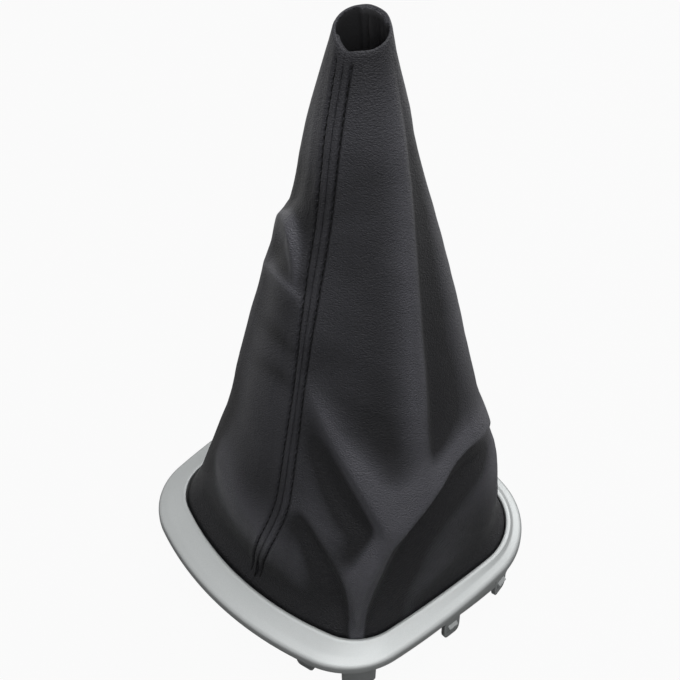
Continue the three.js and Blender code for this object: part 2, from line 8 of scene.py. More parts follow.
import bpy
import numpy as np
from bpy.props import FloatProperty, FloatVectorProperty, IntProperty, PointerProperty, StringProperty
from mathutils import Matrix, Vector


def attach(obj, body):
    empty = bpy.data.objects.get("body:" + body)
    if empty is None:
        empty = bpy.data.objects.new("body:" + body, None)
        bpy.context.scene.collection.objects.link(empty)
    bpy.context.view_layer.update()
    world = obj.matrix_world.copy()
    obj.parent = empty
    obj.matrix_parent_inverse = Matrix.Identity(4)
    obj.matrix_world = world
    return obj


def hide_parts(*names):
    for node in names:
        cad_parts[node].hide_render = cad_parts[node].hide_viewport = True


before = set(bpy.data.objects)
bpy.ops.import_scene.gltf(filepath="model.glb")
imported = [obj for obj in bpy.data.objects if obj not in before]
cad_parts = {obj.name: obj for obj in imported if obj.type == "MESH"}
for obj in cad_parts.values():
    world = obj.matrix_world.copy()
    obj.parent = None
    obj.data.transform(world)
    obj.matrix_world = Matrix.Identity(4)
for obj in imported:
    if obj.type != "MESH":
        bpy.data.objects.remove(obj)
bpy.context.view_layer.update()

bl_info = {
    "name": "Gear Lever Gaiter",
    "version": (1, 0, 0),
    "blender": (4, 5, 0),
    "location": "3D View > Sidebar > Gaiter",
    "description": "Builds a sewn leatherette gear lever gaiter in its moulded frame",
    "category": "Add Mesh",
}

MM = 0.001
TURN = 2.0 * math.pi
BODY = "root"

# An outline is a four-sided loop with bowed sides: half widths at its front (-X) and rear (+X) corner
# points, where those points lie, how far each side bows out, and the radii that round the corners.
FRAME_OUTLINE = {
    "front_half": 65.5, "rear_half": 67.8, "front": -53.1, "rear": 55.3,
    "front_bow": 15.3, "side_bow": 4.6, "rear_bow": 13.1, "front_radius": 32.6, "rear_radius": 40.6,
}
OPENING_OUTLINE = {
    "front_half": 57.5, "rear_half": 63.3, "front": -42.2, "rear": 52.5,
    "front_bow": 13.2, "side_bow": 2.0, "rear_bow": 5.6, "front_radius": 22.0, "rear_radius": 30.3,
}
SKIRT_OUTLINE = {
    "front_half": 61.2, "rear_half": 65.2, "front": -48.6, "rear": 52.8,
    "front_bow": 10.6, "side_bow": 4.4, "rear_bow": 11.6, "front_radius": 25.0, "rear_radius": 36.0,
}

# Heights of the frame's moulding, up from its seat on the console.
SEAT_HEIGHT = 19.0
LIP_HEIGHT = 7.0
INNER_WALL_DEPTH = 4.5
BAND_WIDTH = 10.0
OUTER_PART = 4.0
INNER_PART = 2.0
FRONT_SKIRT_DEPTH = 5.0
FRONT_SKIRT_RUN = 12.0
SKIRT_DEPTH = 8.9
SKIRT_SLOPE = 0.11
SKIRT_WALL = 1.8
SKIRT_TOP = 4.2

FRONT_TABS = (188.0, 214.0)
SIDE_TABS = (271.0, 296.0)
REAR_TABS = (345.0,)
FRONT_TAB_LIFT = 1.5
FOOT_CENTRE = 232.5
FOOT_HALF = 5.5
FOOT_FLAT = 0.5
FOOT_RISE = 8.0
SHELL_WALL = 1.9
EDGE_ROUND = 0.35
SKIRT_STEPS = (120, 90)

# A snap tab: half its width, half its foot, the height where its rounded end starts, how far it reaches
# into the band, its thickness, and how far it stands out from the skirt's face. Its catch is a wedge: half
# its width, and its outline outwards and up.
TAB_HALF = 4.5
TAB_FOOT = 2.3
TAB_END = 4.5
TAB_ROOT = 2.0
TAB_THICKNESS = 2.0
TAB_PROUD = 0.05
CATCH_HALF = 2.5
CATCH_OUTLINE = ((0.5, 3.2), (0.0, 3.2), (-1.3, 6.7), (0.0, 8.2), (0.5, 8.2))

# The boot's sizes. Its mouth, rim and hem are trimmed by up to 3 mm from the solids', within the size rule.
LEATHER = 1.0
PANEL_GAP = 0.12
BOOT_CLEARANCE = 0.3
HEM_CLEARANCE = 0.3
FREE_HEIGHT = 12.0
TUCK_DEPTH = 8.0
MOUTH_RADIUS = 10.0
MOUTH_HEIGHT = 247.0
MOUTH_OVAL = 0.07
MOUTH_TILT = 20.0
MOUTH_FACES = 226.0
LEAN = (5.9, -4.6)
MOUTH_HEM = 12.0
HEM_THICKNESS = 1.1
SEAM_ALLOWANCE = 8.0
SEAM_START = 184.0
SEAM_DRIFT = 12.5
SEAM_DRIFT_END = 0.24
SEAM_RETURN = 6.0
SEAM_RETURN_START = 0.7
SEAM_FADE = 5.0
RIM_NOTCH = 1.2
NOTCH_WIDTH = 2.4
RIM_ROLL = 0.7
TILT_START = 0.75
FACET = 2.6

# The rows of stitches run closer together part of the way up: by how much, where, and over what share.
ROW_PINCH = 0.26
ROW_PINCH_SHARE = 0.47
ROW_PINCH_SPREAD = 0.17

# How each stitch arches over its channel and dips at its ends, in thicknesses of the thread, then the rings
# along its tube, the points round it and the share of its section that is left at its ends.
STITCH_RISE = 0.3
STITCH_DIP = 0.66
STITCH_RINGS = 7
STITCH_SIDES = 8
STITCH_END = 0.08

# The slack in the leather: the length of its long and short waves, and the height of each.
LONG_WAVE, LONG_HEIGHT = 26.0, 0.8
SHORT_WAVE, SHORT_HEIGHT = 11.0, 0.3

# Painted shade on the leather near the frame: how much is taken off the painted highlight that a 1 mm crest
# gets, and up to where.
PAINTED_FRAME_SHADE = 0.75
PAINTED_FRAME_SHADE_SHARE = 0.24

# How the boot's grid is laid out: rows down its hem and round its rim, and how strongly its columns crowd
# towards the seams and its rows towards the frame.
HEM_ROWS = 9
RIM_ROWS = 9
EDGE_CROWDING = 0.55
ROW_CROWDING = 1.1

LIP_Z = SEAT_HEIGHT + LIP_HEIGHT
RISE = MOUTH_HEIGHT + SEAT_HEIGHT - LIP_Z
MEAN_BASE = (FRAME_OUTLINE["front_half"] + OPENING_OUTLINE["front_half"]) / 2.0

# Folds: points along each fold's line (direction from the boot's axis in degrees, share of the rise from
# the lip to the mouth, height in millimetres, negative for a valley), how far it spreads to the left and
# to the right of that line, and how round its crest is (small is sharp).
FOLDS = (
    # The long fold from the right side down to the front corner, steep below its crest.
    {"left": 4, "right": 18, "round": 0.25, "line": (
        (332, 0.22, 0.2), (316, 0.24, 2.2), (304, 0.27, 4.0), (290, 0.29, 5.0), (278, 0.29, 5.8),
        (268, 0.27, 6.2), (257, 0.24, 6.4), (247, 0.208, 5.8), (241, 0.172, 4.6), (237, 0.12, 2.6),
        (235.5, 0.06, 0.6))},
    # The hollow under it.
    {"left": 10, "right": 5, "round": 2.0, "line": (
        (306, 0.21, -1.0), (288, 0.225, -2.8), (270, 0.2, -3.4), (256, 0.16, -3.4), (245, 0.1, -3.6),
        (239, 0.04, -3.8), (237, 0.0, -3.6))},
    # The left edge of the front band, from the seam down.
    {"left": 10, "right": 4.5, "round": 0.5, "line": (
        (199, 0.485, 0.0), (210, 0.427, 1.4), (218, 0.385, 2.4), (226, 0.349, 3.4), (233, 0.308, 4.2),
        (239, 0.262, 4.6), (242, 0.222, 4.4), (239, 0.185, 3.4), (236, 0.155, 2.0))},
    # The hollow beside it.
    {"left": 7, "right": 7, "round": 1.5, "line": (
        (207, 0.37, -0.4), (219, 0.305, -1.5), (229, 0.25, -2.6), (236, 0.212, -3.2), (232, 0.16, -2.0))},
    # The short valley that runs down to the corner, and the narrow ridge in the corner itself.
    {"left": 3, "right": 9, "round": 0.8, "line": (
        (203, 0.22, 0.0), (211, 0.18, -2.2), (219, 0.135, -3.6), (225, 0.092, -4.6), (227.5, 0.05, -5.0),
        (228, 0.0, -4.4))},
    {"left": 3.4, "right": 3.4, "round": 0.8, "line": (
        (238, 0.18, 0.6), (236, 0.15, 2.2), (233.5, 0.11, 3.6), (232, 0.07, 4.4), (232, 0.03, 4.6),
        (232, 0.0, 4.2))},
    # The crease down the right of the front face, with the face's rounded edge beside it.
    {"left": 13, "right": 3, "round": 0.6, "line": (
        (296, 0.98, -0.4), (290, 0.89, -1.3), (285, 0.8, -1.8), (278, 0.7, -2.2), (274, 0.59, -2.4),
        (272, 0.44, -2.4), (269, 0.33, -1.6), (265, 0.27, 0.0))},
    {"left": 6, "right": 9, "round": 2.0, "line": (
        (281, 0.94, 0.4), (275, 0.79, 1.2), (268, 0.56, 1.6), (264, 0.41, 1.6), (260, 0.29, 0.8))},
    # The dent on the left: its crest, the hollow above it and the creases below it.
    {"left": 2.0, "right": 6, "round": 0.5, "line": (
        (104, 0.63, 0.0), (120, 0.654, 0.6), (138, 0.686, 2.2), (160, 0.706, 3.4), (171, 0.7, 3.4),
        (178, 0.678, 3.0), (182, 0.65, 2.2), (184, 0.615, 0.8))},
    {"left": 24, "right": 6.0, "round": 2.0, "line": (
        (98, 0.68, -1.8), (122, 0.69, -2.6), (150, 0.735, -2.2), (178, 0.74, -1.4), (192, 0.7, -0.8))},
    {"left": 2.6, "right": 4, "round": 0.4, "line": (
        (112, 0.55, 0.0), (127, 0.566, 0.4), (144, 0.59, 1.5), (160, 0.606, 1.8), (176, 0.614, 1.6),
        (187, 0.604, 0.8), (192, 0.58, 0.0))},
    {"left": 7, "right": 4, "round": 2.0, "line": (
        (126, 0.605, -0.4), (144, 0.622, -0.7), (164, 0.632, -0.8), (184, 0.625, -0.3))},
    {"left": 5, "right": 5, "round": 1.0, "line": (
        (140, 0.475, 0.0), (158, 0.5, -0.5), (175, 0.515, -0.7), (190, 0.51, -0.4))},
    {"left": 5, "right": 5, "round": 1.0, "line": (
        (146, 0.4, 0.0), (166, 0.44, -0.5), (180, 0.455, -0.7), (192, 0.45, -0.4))},
    # The slack of the left side and the fullness of the right, which is tucked in at the frame.
    {"left": 24, "right": 24, "round": 4.0, "line": (
        (122, 0.97, -1.2), (122, 0.8, -0.8), (122, 0.6, -0.9), (123, 0.5, -1.3), (124, 0.36, -2.4),
        (124, 0.27, -3.8), (124, 0.12, -2.9), (124, 0.03, -1.4))},
    {"left": 24, "right": 24, "round": 4.0, "line": (
        (322, 0.96, -0.6), (321, 0.87, 0.4), (319, 0.8, 0.2), (318, 0.66, 1.8), (318, 0.5, 3.1),
        (318, 0.38, 2.2), (318, 0.31, 1.4), (318, 0.24, 2.8), (318, 0.18, 4.8), (318, 0.12, 3.0),
        (318, 0.05, 0.0))},
    {"left": 8, "right": 8, "round": 2.0, "line": (
        (252, 0.0, -0.6), (262, 0.0, -1.4), (278, 0.01, -2.0), (295, 0.02, -2.4), (318, 0.03, -3.0),
        (345, 0.02, -1.0))},
    # The left side's fullness near the frame, and the leather turning in under it.
    {"left": 16, "right": 13, "round": 3.0, "line": (
        (134, 0.18, 0.2), (148, 0.17, 2.2), (166, 0.155, 3.2), (186, 0.145, 3.0), (202, 0.14, 1.0))},
    {"left": 13, "right": 13, "round": 2.0, "line": (
        (120, 0.0, -0.8), (138, 0.02, -3.2), (165, 0.025, -4.4), (190, 0.02, -4.0), (212, 0.01, -2.6))},
    # Soft folds on the two sides that face away.
    {"left": 8, "right": 10, "round": 2.0, "line": (
        (20, 0.24, 0.6), (45, 0.22, 2.2), (70, 0.27, 1.6), (95, 0.33, 0.0))},
    {"left": 10, "right": 10, "round": 2.0, "line": ((30, 0.12, -0.8), (60, 0.13, -2.0), (90, 0.1, -0.8))},
    {"left": 6, "right": 9, "round": 1.0, "line": (
        (20, 0.62, 0.0), (44, 0.6, 1.0), (70, 0.63, 1.2), (96, 0.68, 0.0))},
    {"left": 12, "right": 12, "round": 2.0, "line": ((42, 0.9, 0.0), (44, 0.6, 0.8), (46, 0.35, 0.6))},
)


def rounded_line(line, steps=3):
    """A fold's line with its bends rounded: a curve through its points whose slope at each point is that
    between its two neighbours (Catmull and Rom's), drawn with a few steps between points."""
    points = np.array(line, dtype=float)
    ends = np.concatenate([2.0 * points[:1] - points[1:2], points, 2.0 * points[-1:] - points[-2:-1]])
    before, here, ahead, beyond = ends[:-3], ends[1:-2], ends[2:-1], ends[3:]
    t = (np.arange(steps) / steps)[:, None, None]
    square = (2.0 * before - 5.0 * here + 4.0 * ahead - beyond) * t**2
    cube = (3.0 * here - before - 3.0 * ahead + beyond) * t**3
    curve = 0.5 * (2.0 * here + (ahead - before) * t + square + cube)
    return np.concatenate([curve.transpose(1, 0, 2).reshape(-1, 3), points[-1:]])


def smooth(value):
    """A ramp from 0 to 1 that starts and ends level: 3x^2 - 2x^3."""
    x = np.clip(value, 0.0, 1.0)
    return x * x * (3.0 - 2.0 * x)


def bell(distance, width):
    """A bell curve that falls to 1/e at the width."""
    return np.exp(-np.square(distance / width))


def crest_shape(distance, width, roundness):
    """A crest that falls to 1/e at the width: exp(r - sqrt(r^2 + (2r + 1)(d/w)^2)). A small r is sharp."""
    steep = (2.0 * roundness + 1.0) * np.square(distance / width)
    return np.exp(roundness - np.sqrt(roundness * roundness + steep))


def wrapped(angle):
    """The angle brought to within half a turn of zero."""
    return angle - TURN * np.round(angle / TURN)


# Outlines


def bow_centre(start, end, bow):
    """Centre and radius of the arc between two points that bows out by bow, from chord and sagitta."""
    chord = end - start
    length = np.linalg.norm(chord)
    radius = (length * length / 4.0 + bow * bow) / (2.0 * bow)
    outward = np.array([chord[1], -chord[0]]) / length
    return (start + end) / 2.0 + outward * (bow - radius), radius


def corner_centre(first, second, radius, corner):
    """Centre of a corner arc that touches two side arcs from inside: where two circles meet."""
    (a, ra), (b, rb) = first, second
    apart = np.linalg.norm(b - a)
    along = ((ra - radius) ** 2 - (rb - radius) ** 2 + apart**2) / (2.0 * apart)
    across = math.sqrt(max((ra - radius) ** 2 - along**2, 0.0))
    axis = (b - a) / apart
    side = np.array([-axis[1], axis[0]])
    choices = [a + axis * along + side * across * sign for sign in (1.0, -1.0)]
    return min(choices, key=lambda centre: np.linalg.norm(centre - corner))


def outline_arcs(o):
    """The outline's eight arcs, anticlockwise: rows of centre x, centre y, radius, start and end angle."""
    corners = np.array([
        [o["front"], -o["front_half"]], [o["rear"], -o["rear_half"]],
        [o["rear"], o["rear_half"]], [o["front"], o["front_half"]],
    ])
    bows = (o["side_bow"], o["rear_bow"], o["side_bow"], o["front_bow"])
    radii = (o["front_radius"], o["rear_radius"], o["rear_radius"], o["front_radius"])
    sides = [bow_centre(corners[i], corners[(i + 1) % 4], bows[i]) for i in range(4)]
    rounds = [corner_centre(sides[i - 1], sides[i], radii[i], corners[i]) for i in range(4)]
    arcs = []
    for i in range(4):
        for (centre, radius), first, last in (
            ((rounds[i], radii[i]), rounds[i] - sides[i - 1][0], rounds[i] - sides[i][0]),
            (sides[i], rounds[i] - sides[i][0], rounds[(i + 1) % 4] - sides[i][0]),
        ):
            start = math.atan2(first[1], first[0])
            sweep = (math.atan2(last[1], last[0]) - start) % TURN
            arcs.append([centre[0], centre[1], radius, start, start + sweep])
    return np.array(arcs)


FRAME_ARCS = outline_arcs(FRAME_OUTLINE)
OPENING_ARCS = outline_arcs(OPENING_OUTLINE)
SKIRT_ARCS = outline_arcs(SKIRT_OUTLINE)


def outline_loop(arcs, inset, corner_steps=44, side_steps=40):
    """Points round an outline, moved in along its normals, spaced alike along each arc of every outline."""
    parts = []
    for i, (x, y, radius, start, end) in enumerate(arcs):
        steps = corner_steps if i % 2 == 0 else side_steps
        angle = start + (end - start) * np.arange(steps) / steps
        reach = radius - inset
        parts.append(np.stack([x + reach * np.cos(angle), y + reach * np.sin(angle)], axis=-1))
    return np.concatenate(parts)


def outline_crossing(arcs, angle, inset):
    """Where rays from the origin cross an inset outline: how far out, and the normal's angle there."""
    angle = np.asarray(angle, dtype=float)
    distance = np.full(angle.shape, np.nan)
    normal = np.zeros(angle.shape)
    ux, uy = np.cos(angle), np.sin(angle)
    for x, y, radius, start, end in arcs:
        along = ux * x + uy * y
        inside = along**2 - (x * x + y * y - (radius - inset) ** 2)
        reach = along + np.sqrt(np.maximum(inside, 0.0))
        swept = (np.arctan2(uy * reach - y, ux * reach - x) - start) % TURN
        on_arc = (inside >= 0.0) & ((swept <= end - start + 1e-6) | (swept >= TURN - 1e-6))
        take = on_arc & np.isnan(distance)
        distance = np.where(take, reach, distance)
        normal = np.where(take, start + swept, normal)
    return distance, normal


# The boot's surface


def girth(share):
    """Mean radius at a share of the rise, which turns a distance round the boot into an angle."""
    risen = np.clip(share, 0.0, 1.0)
    return MEAN_BASE + (MOUTH_RADIUS - MEAN_BASE) * risen


def seam_angle(share):
    """Direction of the front seam: it drifts round as it rises and comes part of the way back."""
    drift = SEAM_DRIFT * smooth(share / SEAM_DRIFT_END)
    back = SEAM_RETURN * smooth((share - SEAM_RETURN_START) / (1.0 - SEAM_RETURN_START))
    return np.radians(SEAM_START + drift - back)


def fold_height(fold, angle, share):
    """A ridge or valley along a bent line, from the distance to it on the boot rolled out flat."""
    around = girth(share)
    nearest = np.full(angle.shape, np.inf)
    height = np.zeros(angle.shape)
    line = rounded_line(fold["line"])
    for (a0, s0, h0), (a1, s1, h1) in zip(line, line[1:]):
        ax = wrapped(angle - math.radians(a0)) * around
        ay = (share - s0) * RISE
        bx = math.radians(a1 - a0) * around
        by = (s1 - s0) * RISE
        t = np.clip((ax * bx + ay * by) / (bx * bx + by * by), 0.0, 1.0)
        dx, dy = ax - bx * t, ay - by * t
        away = np.hypot(dx, dy)
        side = (bx * dy - by * dx) / (np.hypot(bx, by) * np.maximum(away, 1e-9))
        width = (fold["left"] + fold["right"] + (fold["left"] - fold["right"]) * side) / 2.0
        closer = away < nearest
        nearest = np.where(closer, away, nearest)
        height = np.where(closer, (h0 + (h1 - h0) * t) * crest_shape(away, width, fold["round"]), height)
    return height


def ripple(x, y, spacing, seed):
    """Smooth bumps between -1 and 1: seeded values on a square lattice, blended with level ramps."""
    values = np.random.default_rng(seed).uniform(-1.0, 1.0, (64, 64))
    gx, gy = x / spacing, y / spacing
    ix, iy = np.floor(gx).astype(int), np.floor(gy).astype(int)
    fx, fy = smooth(gx - ix), smooth(gy - iy)
    ix, iy = ix % 64, iy % 64
    jx, jy = (ix + 1) % 64, (iy + 1) % 64
    low = values[ix, iy] * (1.0 - fx) + values[jx, iy] * fx
    high = values[ix, jy] * (1.0 - fx) + values[jx, jy] * fx
    return low * (1.0 - fy) + high * fy


def seam_height(offset, share, sewing):
    """Padded strips beside the seam, its groove with one raised edge, and the channels that the stitches
    pull in: each is a bell curve across the seam, and they end just below the mouth."""
    away = np.abs(offset)
    below_rim = smooth((1.0 - share) * RISE / SEAM_FADE - 0.4)
    row = row_offset(sewing, share)
    pad = sewing.pad_height / MM * smooth((SEAM_ALLOWANCE - away) / (SEAM_ALLOWANCE - 0.8 * row))
    depth, width = sewing.groove_depth / MM, sewing.groove_width / MM
    groove = depth * bell(offset, width)
    edge = 0.7 * depth * bell(offset + 1.4 * width, width)
    along = share * RISE / (sewing.pitch / MM)
    pull = 0.8 + 0.2 * np.cos(TURN * along)
    channel = sewing.channel_depth / MM * pull * bell(away - row, sewing.channel_width / MM)
    return pad + (edge - groove - channel) * below_rim


def row_offset(sewing, share):
    """Distance from the seam to each row of stitches in millimetres: a constant less a bell curve."""
    return sewing.row_offset / MM * (1.0 - ROW_PINCH * bell(share - ROW_PINCH_SHARE, ROW_PINCH_SPREAD))


def boot_surface(angle, share, depth=0.0, drop=0.0, sewing=None, wrinkles=0.0):
    """The boot's outer face: a straight loft from the frame's opening to the slightly oval mouth, with
    a leaning axis. Four soft faces, the folds, the seam and wrinkles add to its radius, depth takes away
    from it, and drop lowers the point."""
    risen = np.clip(share, 0.0, 1.0)
    base, _ = outline_crossing(OPENING_ARCS, angle, BOOT_CLEARANCE)
    up = share * RISE
    outward = smooth(up / FREE_HEIGHT)
    inward = smooth((up + TUCK_DEPTH) / (FREE_HEIGHT + TUCK_DEPTH))
    oval = 1.0 - MOUTH_OVAL * np.cos(2.0 * (angle - math.radians(MOUTH_FACES)))
    radius = base + (MOUTH_RADIUS * oval - base) * risen
    radius = radius + FACET * np.sin(math.pi * risen**0.8) * np.cos(4.0 * angle)
    folds = sum(fold_height(fold, angle, risen) for fold in FOLDS)
    radius = radius + np.where(folds > 0.0, outward, inward) * folds
    front = wrapped(angle - seam_angle(risen)) * girth(risen)
    rear = wrapped(angle - seam_angle(risen) - math.pi) * girth(risen)
    from_seam = np.where(np.abs(front) < np.abs(rear), front, rear)
    if sewing is not None:
        radius = radius + outward * seam_height(from_seam, risen, sewing)
    if wrinkles > 0.0:
        around = wrapped(angle) * girth(risen)
        calm = smooth(risen * 9.0) * smooth((1.0 - risen) * 6.0)
        slack = ripple(around, up, LONG_WAVE, 3) * LONG_HEIGHT
        slack = slack + ripple(around + 0.5 * up, up, SHORT_WAVE, 4) * SHORT_HEIGHT
        radius = radius + wrinkles * calm * slack
    notch = RIM_NOTCH * bell(front, NOTCH_WIDTH)
    tilt = math.tan(math.radians(MOUTH_TILT)) * MOUTH_RADIUS * np.cos(angle - math.radians(MOUTH_FACES))
    z = LIP_Z + RISE * share - (tilt + notch) * smooth((risen - TILT_START) / (1.0 - TILT_START)) - drop
    reach = radius - depth
    x = LEAN[0] * risen + reach * np.cos(angle)
    y = LEAN[1] * risen + reach * np.sin(angle)
    return np.stack([x, y, z], axis=-1), folds


def leather_depth(share, from_edge):
    """Thickness of the sewn leatherette: thicker at the turned mouth hem, double along each seam."""
    hem = (HEM_THICKNESS - LEATHER) * smooth((share * RISE - (RISE - MOUTH_HEM - 2.0)) / 2.0)
    seam = LEATHER * smooth((SEAM_ALLOWANCE - from_edge) / 1.5) * smooth((share * RISE - 4.0) / 8.0)
    return LEATHER + np.maximum(hem, seam)


# Meshes and materials


def new_piece(name, points, faces, smooth_angle=None):
    """A mesh object from points in millimetres, smooth shaded, riding on the part's one body. Edges
    sharper than smooth_angle, in degrees, stay crisp."""
    mesh = bpy.data.meshes.new(name)
    mesh.from_pydata(np.asarray(points).reshape(-1, 3) * MM, [], faces)
    mesh.validate()
    piece = bpy.data.objects.new(name, mesh)
    bpy.context.scene.collection.objects.link(piece)
    mesh.shade_smooth()
    if smooth_angle is not None:
        mesh.set_sharp_from_angle(angle=math.radians(smooth_angle))
    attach(piece, BODY)
    return piece


def grid_faces(rows, columns, wrap_rows, wrap_columns):
    """Four-sided faces over a grid of points numbered row by row, joined round where it wraps."""
    r = np.arange(rows if wrap_rows else rows - 1)
    c = np.arange(columns if wrap_columns else columns - 1)
    r, c = np.meshgrid(r, c, indexing="ij")
    rn, cn = (r + 1) % rows, (c + 1) % columns
    corners = [r * columns + c, rn * columns + c, rn * columns + cn, r * columns + cn]
    return np.stack(corners, axis=-1).reshape(-1, 4)


def linear(hex_colour):
    """The linear red, green, blue and alpha of an sRGB hex colour."""
    values = [int(hex_colour[i:i + 2], 16) / 255.0 for i in (1, 3, 5)]
    return [v / 12.92 if v <= 0.04045 else ((v + 0.055) / 1.055) ** 2.4 for v in values] + [1.0]


def add_node(tree, kind, settings=None, values=None, links=None):
    """Adds a node, sets its properties and its sockets' values, and links sockets from other nodes."""
    node = tree.nodes.new(kind)
    for key, value in (settings or {}).items():
        setattr(node, key, value)
    for key, value in (values or {}).items():
        node.inputs[key].default_value = value
    for key, source in (links or {}).items():
        tree.links.new(source, node.inputs[key])
    return node


def new_material(name):
    """An empty node material and its tree, with the output node made."""
    material = bpy.data.materials.new(name)
    material.use_nodes = True
    material.node_tree.nodes.clear()
    return material, material.node_tree


def leatherette(settings):
    """Leatherette, PVC on cloth, embossed with a fine pebble grain: a dark charcoal with a soft sheen at
    glancing angles, shinier on the crests that the folds stretch and duller in the hollows, with a painted
    highlight that lightens the crests and painted shade that darkens the hollows and the leather near the
    frame. The pebbles are a little squat, so the pattern is drawn half as fine again up the boot."""
    material, tree = new_material("leatherette_embossed")
    whole = add_node(tree, "ShaderNodeTexCoord").outputs["Object"]
    squat = add_node(tree, "ShaderNodeMapping", values={"Scale": (1.0, 1.0, 1.5)}, links={"Vector": whole})
    place = squat.outputs[0]
    grain = 1.0 / settings.grain_size
    warp = add_node(tree, "ShaderNodeTexNoise",
                    values={"Scale": grain * 0.5, "Detail": 2.0}, links={"Vector": place})
    shift = add_node(tree, "ShaderNodeVectorMath", {"operation": "MULTIPLY_ADD"},
                     {1: (settings.grain_size * 0.8,) * 3}, {0: warp.outputs["Color"], 2: place})
    pebbles = add_node(tree, "ShaderNodeTexVoronoi", {"feature": "F1"},
                       {"Scale": grain, "Randomness": 1.0}, {"Vector": shift.outputs[0]})
    creases = add_node(tree, "ShaderNodeTexVoronoi", {"feature": "DISTANCE_TO_EDGE"},
                       {"Scale": grain * 0.75}, {"Vector": shift.outputs[0]})
    fine = add_node(tree, "ShaderNodeTexNoise",
                    values={"Scale": grain * 2.2, "Detail": 3.0}, links={"Vector": place})
    crease = add_node(tree, "ShaderNodeMapRange", {"interpolation_type": "SMOOTHSTEP"},
                      {"From Min": 0.0, "From Max": 0.25, "To Min": 0.0, "To Max": 0.22},
                      {"Value": creases.outputs["Distance"]})
    dome = add_node(tree, "ShaderNodeMath", {"operation": "MULTIPLY_ADD"}, {1: -0.6},
                    {0: pebbles.outputs["Distance"], 2: crease.outputs["Result"]})
    height = add_node(tree, "ShaderNodeMath", {"operation": "MULTIPLY_ADD"}, {1: 0.25},
                      {0: fine.outputs["Fac"], 2: dome.outputs[0]})
    bump = add_node(tree, "ShaderNodeBump", values={"Strength": 0.9, "Distance": settings.grain_depth},
                    links={"Height": height.outputs[0]})
    patches = add_node(tree, "ShaderNodeTexNoise",
                       values={"Scale": 45.0, "Detail": 3.0}, links={"Vector": place})
    # The crest attribute paints light and shade into the colour: a painted highlight on the folds' crests,
    # painted shade in their hollows and near the frame. The noise patches are the leather's own uneven
    # tone.
    crest = add_node(tree, "ShaderNodeAttribute", {"attribute_name": "crest"})
    painted_fold_light = add_node(tree, "ShaderNodeMapRange",
                    values={"From Min": -0.9, "From Max": 0.9, "To Min": -0.45, "To Max": 0.85},
                    links={"Value": crest.outputs["Fac"]})
    blend = add_node(tree, "ShaderNodeMath", {"operation": "MULTIPLY_ADD", "use_clamp": True}, {1: 0.3},
                     {0: patches.outputs["Fac"], 2: painted_fold_light.outputs["Result"]})
    colour = add_node(tree, "ShaderNodeMix", {"data_type": "RGBA"},
                      {"A": linear(settings.leather_dark), "B": linear(settings.leather_light)},
                      {"Factor": blend.outputs[0]})
    shine = add_node(tree, "ShaderNodeMapRange", values={
        "From Min": 0.2, "From Max": 0.9, "To Min": settings.leather_roughness + 0.08,
        "To Max": settings.leather_roughness - 0.06}, links={"Value": blend.outputs[0]})
    shader = add_node(tree, "ShaderNodeBsdfPrincipled",
                      values={"IOR": 1.5, "Specular IOR Level": 0.24, "Sheen Weight": 0.03,
                              "Sheen Roughness": 0.4},
                      links={"Base Color": colour.outputs["Result"], "Roughness": shine.outputs["Result"],
                             "Normal": bump.outputs["Normal"]})
    add_node(tree, "ShaderNodeOutputMaterial", links={"Surface": shader.outputs[0]})
    return material


def plain_material(name, kind, settings, texture, output, bump, finish):
    """A material of one colour whose surface is raised a little by one texture, drawn in the object's
    own space: the texture node's kind, settings, values and output, then the bump's and the finish's."""
    material, tree = new_material(name)
    place = add_node(tree, "ShaderNodeTexCoord").outputs["Object"]
    relief = add_node(tree, kind, settings, texture, {"Vector": place})
    raised = add_node(tree, "ShaderNodeBump", values=bump, links={"Height": relief.outputs[output]})
    shader = add_node(tree, "ShaderNodeBsdfPrincipled",
                      values=finish, links={"Normal": raised.outputs["Normal"]})
    add_node(tree, "ShaderNodeOutputMaterial", links={"Surface": shader.outputs[0]})
    return material


def knit_backing():
    """The leatherette's back: a dark grey polyester knit, quite matt, seen through the mouth. Its loops
    are about 0.9 mm wide."""
    return plain_material(
        "polyester_knit_backing", "ShaderNodeTexVoronoi", {}, {"Scale": 1100.0}, "Distance",
        {"Strength": 0.5, "Distance": 0.0002},
        {"Base Color": linear("#3a3a3c"), "Roughness": 0.95, "IOR": 1.4})


def silver_paint(settings):
    """Satin silver lacquer on moulded ABS: bright, half metallic, with very fine metal flake and a soft
    highlight on rounded edges."""
    material, tree = new_material("silver_lacquer_on_abs")
    place = add_node(tree, "ShaderNodeTexCoord").outputs["Object"]
    flake = add_node(tree, "ShaderNodeTexNoise",
                     values={"Scale": 2600.0, "Detail": 1.0}, links={"Vector": place})
    haze = add_node(tree, "ShaderNodeTexNoise",
                    values={"Scale": 28.0, "Detail": 3.0}, links={"Vector": place})
    mix = add_node(tree, "ShaderNodeMath", {"operation": "MULTIPLY_ADD", "use_clamp": True}, {1: 0.35},
                   {0: haze.outputs["Fac"], 2: flake.outputs["Fac"]})
    colour = add_node(tree, "ShaderNodeMix", {"data_type": "RGBA"},
                      {"A": linear(settings.silver_dark), "B": linear(settings.silver_light)},
                      {"Factor": mix.outputs[0]})
    rough = add_node(tree, "ShaderNodeMapRange", values={
        "From Min": 0.3, "From Max": 0.7, "To Min": settings.silver_roughness - 0.03,
        "To Max": settings.silver_roughness + 0.04}, links={"Value": haze.outputs["Fac"]})
    bump = add_node(tree, "ShaderNodeBump", values={"Strength": 0.08, "Distance": 0.00005},
                    links={"Height": flake.outputs["Fac"]})
    shader = add_node(tree, "ShaderNodeBsdfPrincipled", values={"Metallic": 0.55, "IOR": 1.5},
                      links={"Base Color": colour.outputs["Result"], "Roughness": rough.outputs["Result"],
                             "Normal": bump.outputs["Normal"]})
    add_node(tree, "ShaderNodeOutputMaterial", links={"Surface": shader.outputs[0]})
    return material


